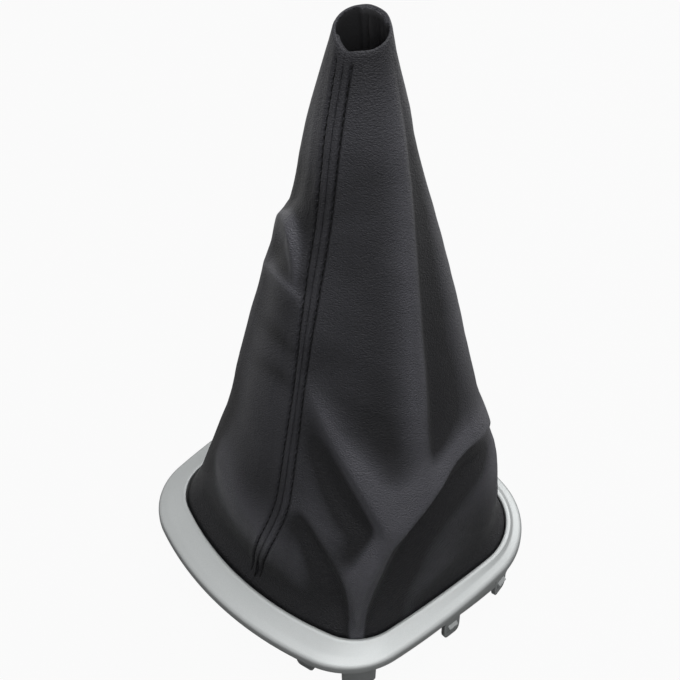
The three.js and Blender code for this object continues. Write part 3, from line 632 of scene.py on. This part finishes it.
def black_moulding():
    """Plain black polypropylene, moulded, with a faint spark-eroded texture."""
    return plain_material(
        "black_polypropylene", "ShaderNodeTexNoise", {}, {"Scale": 1800.0, "Detail": 2.0}, "Fac",
        {"Strength": 0.3, "Distance": 0.00008},
        {"Base Color": linear("#1b1b1d"), "Roughness": 0.55, "IOR": 1.49})


def polyester_thread():
    """Twisted black polyester sewing thread: nearly black and quite dull, with a fine twist."""
    return plain_material(
        "polyester_thread", "ShaderNodeTexWave", {"bands_direction": "DIAGONAL"}, {"Scale": 900.0}, "Fac",
        {"Strength": 0.4, "Distance": 0.00008},
        {"Base Color": linear("#0d0d0e"), "Roughness": 0.85, "IOR": 1.5, "Specular IOR Level": 0.2})


# Settings


class GaiterFinish(bpy.types.PropertyGroup):
    """Colours and surface values of the gaiter's materials."""

    leather_dark: StringProperty(
        name="Leather dark", description="Darker leatherette colour", default="#161619")
    leather_light: StringProperty(
        name="Leather light", description="Colour on the crests", default="#56565c")
    leather_roughness: FloatProperty(
        name="Leather roughness", description="Roughness of the leatherette",
        default=0.4, min=0.0, max=1.0)
    grain_size: FloatProperty(
        name="Grain size", description="Width of a pebble of the grain", default=0.85 * MM, unit="LENGTH")
    grain_depth: FloatProperty(
        name="Grain depth", description="Height of the embossed grain", default=0.45 * MM, unit="LENGTH")
    silver_dark: StringProperty(name="Silver dark", description="Darker silver colour", default="#a7aaaa")
    silver_light: StringProperty(
        name="Silver light", description="Lighter silver colour", default="#b7baba")
    silver_roughness: FloatProperty(
        name="Silver roughness", description="Roughness of the silver lacquer",
        default=0.48, min=0.0, max=1.0)


class GaiterSewing(bpy.types.PropertyGroup):
    """Sizes of the seams and their stitches."""

    row_offset: FloatProperty(
        name="Row offset", description="Distance from the seam to each row",
        default=3.1 * MM, unit="LENGTH")
    pitch: FloatProperty(
        name="Pitch", description="Length of one stitch and its gap", default=3.6 * MM, unit="LENGTH")
    stitch: FloatProperty(
        name="Stitch", description="Visible length of a stitch", default=3.3 * MM, unit="LENGTH")
    thread: FloatProperty(
        name="Thread", description="Thickness of the thread", default=0.5 * MM, unit="LENGTH")
    pad_height: FloatProperty(
        name="Pad height", description="How far the doubled strips stand up",
        default=0.7 * MM, unit="LENGTH")
    groove_depth: FloatProperty(
        name="Groove depth", description="Depth of the seam's groove", default=0.35 * MM, unit="LENGTH")
    groove_width: FloatProperty(
        name="Groove width", description="Half width of the seam's groove",
        default=0.45 * MM, unit="LENGTH")
    channel_depth: FloatProperty(
        name="Channel depth", description="How far a row pulls the leather in",
        default=1.5 * MM, unit="LENGTH")
    channel_width: FloatProperty(
        name="Channel width", description="Half width of a row's channel",
        default=0.65 * MM, unit="LENGTH")


class GaiterBoot(bpy.types.PropertyGroup):
    """How finely the boot is drawn and how much it wrinkles."""

    columns: IntProperty(name="Columns", description="Points across each panel", default=250, min=20)
    rows: IntProperty(name="Rows", description="Points up each panel", default=300, min=20)
    inner_rows: IntProperty(name="Inner rows", description="Points down the inside", default=70, min=10)
    wrinkles: FloatProperty(
        name="Wrinkles", description="Height of the slack in the leather, in mm", default=0.5)


class GaiterStage(bpy.types.PropertyGroup):
    """The camera and the light."""

    target: FloatVectorProperty(
        name="Target", description="Point that the camera faces",
        default=(0.0064, 0.0061, 0.119), unit="LENGTH")
    distance: FloatProperty(
        name="Distance", description="From the camera to the target", default=0.56, unit="LENGTH")
    azimuth: FloatProperty(
        name="Azimuth", description="Camera's direction in degrees, 0 along +Y", default=-43.80)
    elevation: FloatProperty(name="Elevation", description="Camera's height in degrees", default=44.48)
    lens: FloatProperty(name="Lens", description="Focal length on a 36 mm sensor, in mm", default=75.27)
    key_power: FloatProperty(name="Key power", description="Main lamp's power in watts", default=10.2)
    fill_power: FloatProperty(name="Fill power", description="Side lamp's power in watts", default=1.6)
    back_power: FloatProperty(name="Back power", description="Rear lamp's power in watts", default=5.0)
    world: FloatProperty(name="World", description="Strength of the even white light", default=0.07)


# Operators


class GAITER_OT_frame(bpy.types.Operator):
    """Build the moulded frame: its shell, skirt and snap tabs"""

    bl_idname = "gaiter.build_frame"
    bl_label = "Build frame"

    def execute(self, context):
        silver = silver_paint(context.scene.gaiter_finish)
        pieces = [frame_shell(), frame_skirt(), snap_tabs()]
        for piece in pieces:
            piece.data.materials.append(silver)
            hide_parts("bezel")
        return {"FINISHED"}


class GAITER_OT_ring(bpy.types.Operator):
    """Give the hidden clamp ring its finish"""

    bl_idname = "gaiter.finish_ring"
    bl_label = "Finish clamp ring"

    def execute(self, context):
        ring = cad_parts["retainer_ring"]
        plastic = black_moulding()
        for slot in ring.material_slots:
            slot.material = plastic
        return {"FINISHED"}


class GAITER_OT_boot(bpy.types.Operator):
    """Build the boot's two sewn panels"""

    bl_idname = "gaiter.build_boot"
    bl_label = "Build boot"

    def execute(self, context):
        leather, backing = leatherette(context.scene.gaiter_finish), knit_backing()
        for name, first_edge in (("right_panel", 0.0), ("left_panel", math.pi)):
            piece = boot_panel(name + "_leather", first_edge, context.scene)
            piece.data.materials.append(leather)
            piece.data.materials.append(backing)
            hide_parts(name)
        return {"FINISHED"}


class GAITER_OT_stitches(bpy.types.Operator):
    """Sew the rows of stitches beside both seams"""

    bl_idname = "gaiter.sew_stitches"
    bl_label = "Sew stitches"

    def execute(self, context):
        thread = polyester_thread()
        for name, seam in (("front", 0.0), ("rear", math.pi)):
            for side, sign in (("right", 1.0), ("left", -1.0)):
                row = stitch_row(f"stitches_{name}_{side}", seam, sign, context.scene)
                row.data.materials.append(thread)
        return {"FINISHED"}


class GAITER_OT_stage(bpy.types.Operator):
    """Set up the floor, the light and the camera"""

    bl_idname = "gaiter.set_stage"
    bl_label = "Set stage"

    def execute(self, context):
        stage = context.scene.gaiter_stage
        make_floor()
        make_world(stage.world)
        powers = (stage.key_power, stage.fill_power, stage.back_power)
        for (name, place, size), power in zip(LAMPS, powers):
            make_lamp(name, place, size, power, stage.target)
        make_camera(stage)
        return {"FINISHED"}


class GAITER_PT_panel(bpy.types.Panel):
    """Lists the steps that build the gaiter"""

    bl_label = "Gear Lever Gaiter"
    bl_idname = "GAITER_PT_panel"
    bl_space_type = "VIEW_3D"
    bl_region_type = "UI"
    bl_category = "Gaiter"

    def draw(self, context):
        for step in STEPS:
            self.layout.operator(step.bl_idname)


# Pieces


def band_loop(across):
    """One loop of the shell at a distance across the band: near the outside it follows the frame's outline,
    near the opening it follows the opening's, and between them it is an even blend of the two."""
    middle_start, middle_end = OUTER_PART, BAND_WIDTH - INNER_PART
    share = np.clip((across - middle_start) / (middle_end - middle_start), 0.0, 1.0)
    outer = outline_loop(FRAME_ARCS, min(across, middle_start))
    inner = outline_loop(OPENING_ARCS, max(across, middle_end) - BAND_WIDTH)
    return outer + (inner - outer) * share


def rounded_profile(corners, steps=6):
    """A closed profile from corner points (x, y, radius), each rounded by a curve of the second degree
    that leaves the two sides at the radius from the corner, or just short of a side's middle."""
    points = np.array([corner[:2] for corner in corners], dtype=float)
    t = np.linspace(0.0, 1.0, steps)[:, None]
    curve = []
    for i, (_, _, radius) in enumerate(corners):
        back = points[i - 1] - points[i]
        ahead = points[(i + 1) % len(points)] - points[i]
        cut = min(radius, 0.48 * np.linalg.norm(back), 0.48 * np.linalg.norm(ahead))
        start = points[i] + back / np.linalg.norm(back) * cut
        end = points[i] + ahead / np.linalg.norm(ahead) * cut
        curve.append((1 - t) ** 2 * start + 2 * t * (1 - t) * points[i] + t**2 * end)
    return np.concatenate(curve)


def lifted(loop, height):
    """A flat loop raised to one height, or to a height for each point."""
    return np.column_stack([loop, np.broadcast_to(height, len(loop))])


def frame_shell():
    """The shell swept round the frame: rim, rolled edge, gently domed band, inner lip and inner wall. Its
    profile's corners are given as distance in from the rim, height above the seat, and rounding."""
    inner, inside = BAND_WIDTH, BAND_WIDTH - SHELL_WALL
    profile = rounded_profile([
        (0.0, 0.0, 0.4), (0.0, 3.9, 2.8), (3.2, 5.0, 2.4), (7.6, 6.6, 1.6), (inner - 1.2, LIP_HEIGHT, 0.3),
        (inner, LIP_HEIGHT, 0.7), (inner, -INNER_WALL_DEPTH, 0.4), (inside, -INNER_WALL_DEPTH, 0.4),
        (inside, 4.5, 1.0), (3.6, 3.0, 1.0), (2.2, 0.0, 0.3),
    ])
    grid = np.stack([lifted(band_loop(u), SEAT_HEIGHT + z) for u, z in profile])
    faces = grid_faces(grid.shape[0], grid.shape[1], True, True)[:, ::-1]
    return new_piece("frame_shell", grid, faces, 50.0)


def skirt_low(x, angle):
    """Lowest point of the skirt: shallow in front, deeper to the rear, and right down at two feet."""
    blend = np.clip((x - SKIRT_OUTLINE["front"]) / FRONT_SKIRT_RUN, 0.0, 1.0)
    depth = FRONT_SKIRT_DEPTH + (SKIRT_DEPTH + SKIRT_SLOPE * x - FRONT_SKIRT_DEPTH) * blend
    from_foot = np.minimum(np.abs(angle - FOOT_CENTRE), np.abs(angle - (360.0 - FOOT_CENTRE)))
    foot = FOOT_RISE * np.maximum(0.0, from_foot / FOOT_HALF - FOOT_FLAT)
    return np.where(from_foot < FOOT_HALF, np.minimum(foot, SEAT_HEIGHT - depth), SEAT_HEIGHT - depth)


def frame_skirt():
    """The wall below the band, swept round the skirt's outline with its lower edge cut to depth."""
    outer = outline_loop(SKIRT_ARCS, 0.0, *SKIRT_STEPS)
    angle = np.degrees(np.arctan2(outer[:, 1], outer[:, 0])) % 360.0
    low = skirt_low(outer[:, 0], angle)
    top = SEAT_HEIGHT + SKIRT_TOP
    edges = (
        (EDGE_ROUND, low), (0.0, low + EDGE_ROUND), (0.0, top),
        (SKIRT_WALL, top), (SKIRT_WALL, low + EDGE_ROUND), (SKIRT_WALL - EDGE_ROUND, low),
    )
    grid = np.stack([lifted(outline_loop(SKIRT_ARCS, inset, *SKIRT_STEPS), z) for inset, z in edges])
    faces = grid_faces(grid.shape[0], grid.shape[1], True, True)[:, ::-1]
    return new_piece("frame_skirt", grid, faces, 35.0)


def tab_outline():
    """A snap tab seen from outside: a straight-sided paddle with a rounded, flat-footed end."""
    t = np.linspace(0.0, 1.0, 8)[:, None]
    corner = np.array([[TAB_FOOT, 0.0], [TAB_HALF, 0.4], [TAB_HALF, TAB_END]])
    right = (1 - t) ** 2 * corner[0] + 2 * t * (1 - t) * corner[1] + t**2 * corner[2]
    top = np.array([[TAB_HALF, SEAT_HEIGHT + TAB_ROOT], [-TAB_HALF, SEAT_HEIGHT + TAB_ROOT]])
    left = right[::-1] * [-1.0, 1.0]
    return np.concatenate([right, top, left])


def prism(outline, near, far):
    """Corner points and faces of an outline in its plane, drawn out from near to far along a third axis."""
    count = len(outline)
    points = np.concatenate([
        np.column_stack([outline[:, 0], np.full(count, near), outline[:, 1]]),
        np.column_stack([outline[:, 0], np.full(count, far), outline[:, 1]]),
    ])
    i = np.arange(count)
    j = (i + 1) % count
    sides = np.stack([i, i + count, j + count, j], axis=-1).tolist()
    return points, sides + [list(range(count)), list(range(2 * count - 1, count - 1, -1))]


def snap_tabs():
    """The snap tabs round the skirt, each a paddle with a sloped catch on its outer face: two prisms that
    are turned to the skirt's normal. The front ones' feet stand a little higher."""
    directions = FRONT_TABS + SIDE_TABS + REAR_TABS
    lifts = (FRONT_TAB_LIFT,) * len(FRONT_TABS) + (0.0,) * len(SIDE_TABS + REAR_TABS)
    directions, lifts = directions + tuple(360.0 - d for d in directions), lifts * 2
    distance, normal = outline_crossing(SKIRT_ARCS, np.radians(directions), -TAB_PROUD)
    points, faces, start = [], [], 0
    paddle, paddle_faces = prism(tab_outline(), 0.0, TAB_THICKNESS)
    catch, catch_faces = prism(np.array(CATCH_OUTLINE), -CATCH_HALF, CATCH_HALF)
    catch = catch[:, [1, 0, 2]]
    catch_faces = [face[::-1] for face in catch_faces]
    for direction, reach, facing, lift in zip(np.radians(directions), distance, normal, lifts):
        turn = facing + math.pi / 2.0
        across = np.array([math.cos(turn), math.sin(turn), 0.0])
        inward = np.array([-math.sin(turn), math.cos(turn), 0.0])
        centre = reach * np.array([math.cos(direction), math.sin(direction), 0.0])
        for shape, shape_faces in ((paddle, paddle_faces), (catch, catch_faces)):
            placed = centre + shape[:, :1] * across + shape[:, 1:2] * inward
            placed[:, 2] += shape[:, 2] + lift * (shape[:, 2] < SEAT_HEIGHT / 2.0)
            points.append(placed)
            faces.extend([[corner + start for corner in face] for face in shape_faces])
            start += len(shape)
    piece = new_piece("snap_tabs", np.concatenate(points), faces, 40.0)
    bevel = piece.modifiers.new("edge_round", "BEVEL")
    bevel.width = EDGE_ROUND * MM
    bevel.segments = 3
    bevel.harden_normals = False
    return piece


def boot_panel(name, first_edge, scene):
    """One panel as a closed wall: a grid whose columns go up the outer face, over the rim and down inside,
    closer together near its two sewn edges. Its crest attribute is how far each point stands out from
    the folds round it, in millimetres, less a painted shade on the leather near the frame; the leather's
    colour turns it into a painted highlight on the crests and painted shade in the hollows."""
    boot, sewing = scene.gaiter_boot, scene.gaiter_sewing
    u = np.linspace(0.0, 1.0, boot.columns)
    spread = u - EDGE_CROWDING * np.sin(TURN * u) / TURN
    hem = -(INNER_WALL_DEPTH + LIP_HEIGHT - HEM_CLEARANCE) / RISE
    rows = np.linspace(0.0, 1.0, boot.rows) ** ROW_CROWDING
    outer = np.concatenate([np.linspace(hem, 0.0, HEM_ROWS)[:-1], rows])
    inner = np.concatenate([np.linspace(1.0, 0.0, boot.inner_rows), np.linspace(0.0, hem, HEM_ROWS)[1:]])

    def wall(shares, depth_of, drop):
        across = math.pi * girth(shares)[:, None]
        place = PANEL_GAP / 2.0 + (across - PANEL_GAP) * spread[None, :]
        angle = seam_angle(np.clip(shares, 0.0, 1.0))[:, None] + first_edge + place / girth(shares)[:, None]
        share = np.broadcast_to(shares[:, None], angle.shape)
        depth = depth_of(share, np.minimum(place, across - place))
        return boot_surface(angle, share, depth, drop, sewing, boot.wrinkles)

    lift = np.zeros((len(outer), 1))
    lift[-1] = RIM_ROLL
    face, crest = wall(outer, lambda share, edge: 0.0, lift)
    turn = np.linspace(0.0, math.pi, RIM_ROWS)[1:-1]
    rim_depth = HEM_THICKNESS / 2.0 * (1.0 - np.cos(turn))[:, None]
    rim_drop = RIM_ROLL * (1.0 - np.sin(turn))[:, None]
    rim, rim_crest = wall(np.ones(len(turn)), lambda share, edge: rim_depth, rim_drop)
    lift = np.zeros((len(inner), 1))
    lift[0] = RIM_ROLL
    back, back_crest = wall(inner, leather_depth, lift)
    grid = np.concatenate([face, rim, back])
    faces = grid_faces(grid.shape[0], grid.shape[1], True, False)[:, ::-1]
    columns = grid.shape[1]
    caps = end_caps(len(face), len(rim), len(back), columns)
    piece = new_piece(name, grid, np.concatenate([faces, caps]))
    first_inner = (len(face) + len(rim)) * columns
    inside = faces.min(axis=1) >= first_inner
    index = np.concatenate([inside, np.zeros(len(piece.data.polygons) - len(inside), dtype=bool)])
    piece.data.polygons.foreach_set("material_index", index.astype(np.int32))
    attribute = piece.data.attributes.new("crest", "FLOAT", "POINT")
    # Painted shade: the crest value is lowered near the frame, which darkens the leather there.
    painted_frame_shade = PAINTED_FRAME_SHADE * (1.0 - smooth(outer / PAINTED_FRAME_SHADE_SHARE))[:, None]
    height = np.concatenate([crest - softened(crest) - painted_frame_shade, rim_crest * 0.0, back_crest * 0.0]).ravel()
    attribute.data.foreach_set("value", np.clip(height, -1.0, 1.0).astype(np.float32))
    return piece


def softened(height, reach=14, passes=3):
    """Heights averaged over their neighbours on the grid, a few box filters in a row each way."""
    window = 2 * reach + 1
    for _ in range(passes):
        for axis in (0, 1):
            pad = [(reach + 1, reach) if i == axis else (0, 0) for i in (0, 1)]
            total = np.cumsum(np.pad(height, pad, mode="edge"), axis=axis)
            ahead = np.take(total, np.arange(window, total.shape[axis]), axis=axis)
            behind = np.take(total, np.arange(0, total.shape[axis] - window), axis=axis)
            height = (ahead - behind) / window
    return height


def end_caps(face_rows, rim_rows, back_rows, columns):
    """Faces that close a panel's two sewn edges: strips from the outer rows to the inner ones."""
    outer = np.arange(face_rows + rim_rows)
    inner = np.arange(face_rows + rim_rows + back_rows - 1, face_rows + rim_rows - 1, -1)
    match = inner[np.round(np.linspace(0, back_rows - 1, len(outer))).astype(int)]
    faces = []
    for column, flip in ((0, False), (columns - 1, True)):
        a, b = outer[:-1] * columns + column, outer[1:] * columns + column
        c, d = match[1:] * columns + column, match[:-1] * columns + column
        quads = np.stack([a, b, c, d], axis=-1)
        quads[c == d, 2] = b[c == d]
        faces.append(quads[:, ::-1] if flip else quads)
    return np.concatenate(faces)


def stitch_row(name, seam, sign, scene):
    """A row of stitches: short threads, each a tube whose middle stands at rise - dip (2t)^2 above the
    channel's floor, for t from -1/2 to 1/2 along the stitch, and whose ends taper."""
    sewing, boot = scene.gaiter_sewing, scene.gaiter_boot
    pitch, stitch, thread = sewing.pitch / MM, sewing.stitch / MM, sewing.thread / MM
    count = int((RISE - MOUTH_HEM) / pitch)
    along = (np.arange(count) + 1.5) * pitch
    rings, sides = STITCH_RINGS, STITCH_SIDES
    t = np.linspace(-0.5, 0.5, rings)
    share = (along[:, None] + t[None, :] * stitch) / RISE
    angle = seam_angle(share) + seam + sign * row_offset(sewing, share) / girth(share)
    centre, _ = boot_surface(angle, share, 0.0, 0.0, sewing, boot.wrinkles)
    ahead, _ = boot_surface(angle, share + 0.3 / RISE, 0.0, 0.0, sewing, boot.wrinkles)
    tangent = ahead - centre
    tangent /= np.linalg.norm(tangent, axis=-1, keepdims=True)
    outward = np.stack([np.cos(angle), np.sin(angle), np.full(angle.shape, 0.2)], axis=-1)
    outward -= tangent * np.sum(outward * tangent, axis=-1, keepdims=True)
    outward /= np.linalg.norm(outward, axis=-1, keepdims=True)
    across = np.cross(tangent, outward)
    arch = thread * (STITCH_RISE - STITCH_DIP * (2.0 * t) ** 2)
    radius = thread / 2.0 * np.sqrt(np.maximum(1.0 - np.abs(2.0 * t) ** 6, STITCH_END))
    round_angle = np.arange(sides) * TURN / sides
    outward, across = outward[:, :, None, :], across[:, :, None, :]
    ring = np.cos(round_angle)[:, None] * outward + np.sin(round_angle)[:, None] * across
    points = centre[:, :, None, :] + outward * arch[:, None, None] + ring * radius[:, None, None]
    tube = grid_faces(rings, sides, False, True)
    starts = np.arange(count)[:, None, None] * rings * sides
    faces = (tube[None] + starts).reshape(-1, 4).tolist()
    for i in range(count):
        first = i * rings * sides
        last = first + (rings - 1) * sides
        faces.append(list(range(first, first + sides)))
        faces.append(list(range(last + sides - 1, last - 1, -1)))
    return new_piece(name, points, faces)


# Stage

WHITE = (1.0, 1.0, 1.0, 1.0)
SENSOR_WIDTH = 36.0

# The lamps: each one's name, place and width in metres.
LAMPS = (
    ("key_softbox", (-0.12, -0.2, 1.3), 1.0),
    ("front_softbox", (-0.42, -0.86, 0.85), 0.5),
    ("back_softbox", (0.95, 0.1, 0.7), 0.7),
)

# The floor: half its width, its grey to ordinary light, how white the camera sees it, and, in reflections,
# how far from the middle its painted shadow stays dark, from where it is pale, and how pale.
FLOOR_HALF = 6.0
FLOOR_GREY = (0.22, 0.22, 0.22, 1.0)
FLOOR_WHITE = 0.95
FLOOR_DARK_REACH = 0.1
FLOOR_PALE_REACH = 0.7
FLOOR_PALE = 0.8


def make_floor():
    """A plain pale floor. The camera sees it as white with the object's faint shadow. In reflections it
    carries a painted shadow: dark beside the object and pale further out. To other light it is grey."""
    half = FLOOR_HALF
    mesh = bpy.data.meshes.new("floor")
    mesh.from_pydata([(-half, -half, 0), (half, -half, 0), (half, half, 0), (-half, half, 0)], [],
                     [(0, 1, 2, 3)])
    floor = bpy.data.objects.new("floor", mesh)
    bpy.context.scene.collection.objects.link(floor)
    material, tree = new_material("floor_white")
    path = add_node(tree, "ShaderNodeLightPath")
    matte = add_node(tree, "ShaderNodeBsdfDiffuse", values={"Color": FLOOR_GREY})
    white = add_node(tree, "ShaderNodeEmission", values={"Color": WHITE, "Strength": 1.0})
    both = add_node(tree, "ShaderNodeMixShader",
                    values={0: FLOOR_WHITE}, links={1: matte.outputs[0], 2: white.outputs[0]})
    place = add_node(tree, "ShaderNodeTexCoord").outputs["Object"]
    reach = add_node(tree, "ShaderNodeVectorMath", {"operation": "LENGTH"}, links={0: place})
    # Painted shadow seen in reflections: the floor darkens towards the object's middle.
    far = add_node(tree, "ShaderNodeMapRange", {"interpolation_type": "SMOOTHSTEP"},
                   {"From Min": FLOOR_DARK_REACH, "From Max": FLOOR_PALE_REACH, "To Min": 0.0,
                    "To Max": FLOOR_PALE}, {"Value": reach.outputs["Value"]})
    mirrored = add_node(tree, "ShaderNodeMath", {"operation": "MULTIPLY"},
                        links={0: far.outputs["Result"], 1: path.outputs["Is Glossy Ray"]})
    seen = add_node(tree, "ShaderNodeMath", {"operation": "MAXIMUM"},
                    links={0: path.outputs["Is Camera Ray"], 1: mirrored.outputs[0]})
    pick = add_node(tree, "ShaderNodeMixShader",
                    links={0: seen.outputs[0], 1: matte.outputs[0], 2: both.outputs[0]})
    add_node(tree, "ShaderNodeOutputMaterial", links={"Surface": pick.outputs[0]})
    mesh.materials.append(material)


def make_world(strength):
    """Even white surroundings, seen as plain white by the camera and in reflections."""
    world = bpy.data.worlds.new("studio")
    bpy.context.scene.world = world
    world.use_nodes = True
    tree = world.node_tree
    tree.nodes.clear()
    path = add_node(tree, "ShaderNodeLightPath")
    seen = add_node(tree, "ShaderNodeMath", {"operation": "MAXIMUM"},
                    links={0: path.outputs["Is Camera Ray"], 1: path.outputs["Is Glossy Ray"]})
    lit = add_node(tree, "ShaderNodeBackground", values={"Color": WHITE, "Strength": strength})
    white = add_node(tree, "ShaderNodeBackground", values={"Color": WHITE, "Strength": 1.0})
    pick = add_node(tree, "ShaderNodeMixShader",
                    links={0: seen.outputs[0], 1: lit.outputs[0], 2: white.outputs[0]})
    add_node(tree, "ShaderNodeOutputWorld", links={"Surface": pick.outputs[0]})


def make_lamp(name, place, size, power, target):
    """A square soft lamp that faces the object's middle."""
    light = bpy.data.lights.new(name, "AREA")
    light.shape = "SQUARE"
    light.size = size
    light.energy = power
    lamp = bpy.data.objects.new(name, light)
    bpy.context.scene.collection.objects.link(lamp)
    lamp.location = place
    lamp.rotation_euler = (Vector(target) - Vector(place)).to_track_quat("-Z", "Y").to_euler()


def make_camera(stage):
    """The camera at the photograph's viewing angle."""
    azimuth, elevation = math.radians(stage.azimuth), math.radians(stage.elevation)
    back = Vector((math.sin(azimuth) * math.cos(elevation), -math.cos(azimuth) * math.cos(elevation),
                   math.sin(elevation)))
    data = bpy.data.cameras.new("camera")
    data.lens = stage.lens
    data.sensor_width = SENSOR_WIDTH
    camera = bpy.data.objects.new("camera", data)
    bpy.context.scene.collection.objects.link(camera)
    camera.location = Vector(stage.target) + back * stage.distance
    camera.rotation_euler = (-back).to_track_quat("-Z", "Y").to_euler()
    data.clip_start, data.clip_end = 0.01, 50.0
    bpy.context.scene.camera = camera


SETTINGS = {
    "gaiter_finish": GaiterFinish,
    "gaiter_sewing": GaiterSewing,
    "gaiter_boot": GaiterBoot,
    "gaiter_stage": GaiterStage,
}
STEPS = (GAITER_OT_stage, GAITER_OT_frame, GAITER_OT_ring, GAITER_OT_boot, GAITER_OT_stitches)


def register():
    """Registers the settings, the operators and the panel."""
    for group in SETTINGS.values():
        bpy.utils.register_class(group)
    for name, group in SETTINGS.items():
        setattr(bpy.types.Scene, name, PointerProperty(type=group))
    for step in STEPS:
        bpy.utils.register_class(step)
    bpy.utils.register_class(GAITER_PT_panel)


def unregister():
    """Removes what register() added."""
    bpy.utils.unregister_class(GAITER_PT_panel)
    for step in reversed(STEPS):
        bpy.utils.unregister_class(step)
    for name, group in reversed(SETTINGS.items()):
        delattr(bpy.types.Scene, name)
        bpy.utils.unregister_class(group)


def main():
    """Builds the gaiter and its stage."""
    register()
    bpy.context.scene.view_settings.view_transform = "Standard"
    bpy.ops.gaiter.set_stage()
    bpy.ops.gaiter.build_frame()
    bpy.ops.gaiter.finish_ring()
    bpy.ops.gaiter.build_boot()
    bpy.ops.gaiter.sew_stitches()


if __name__ == "__main__":
    main()
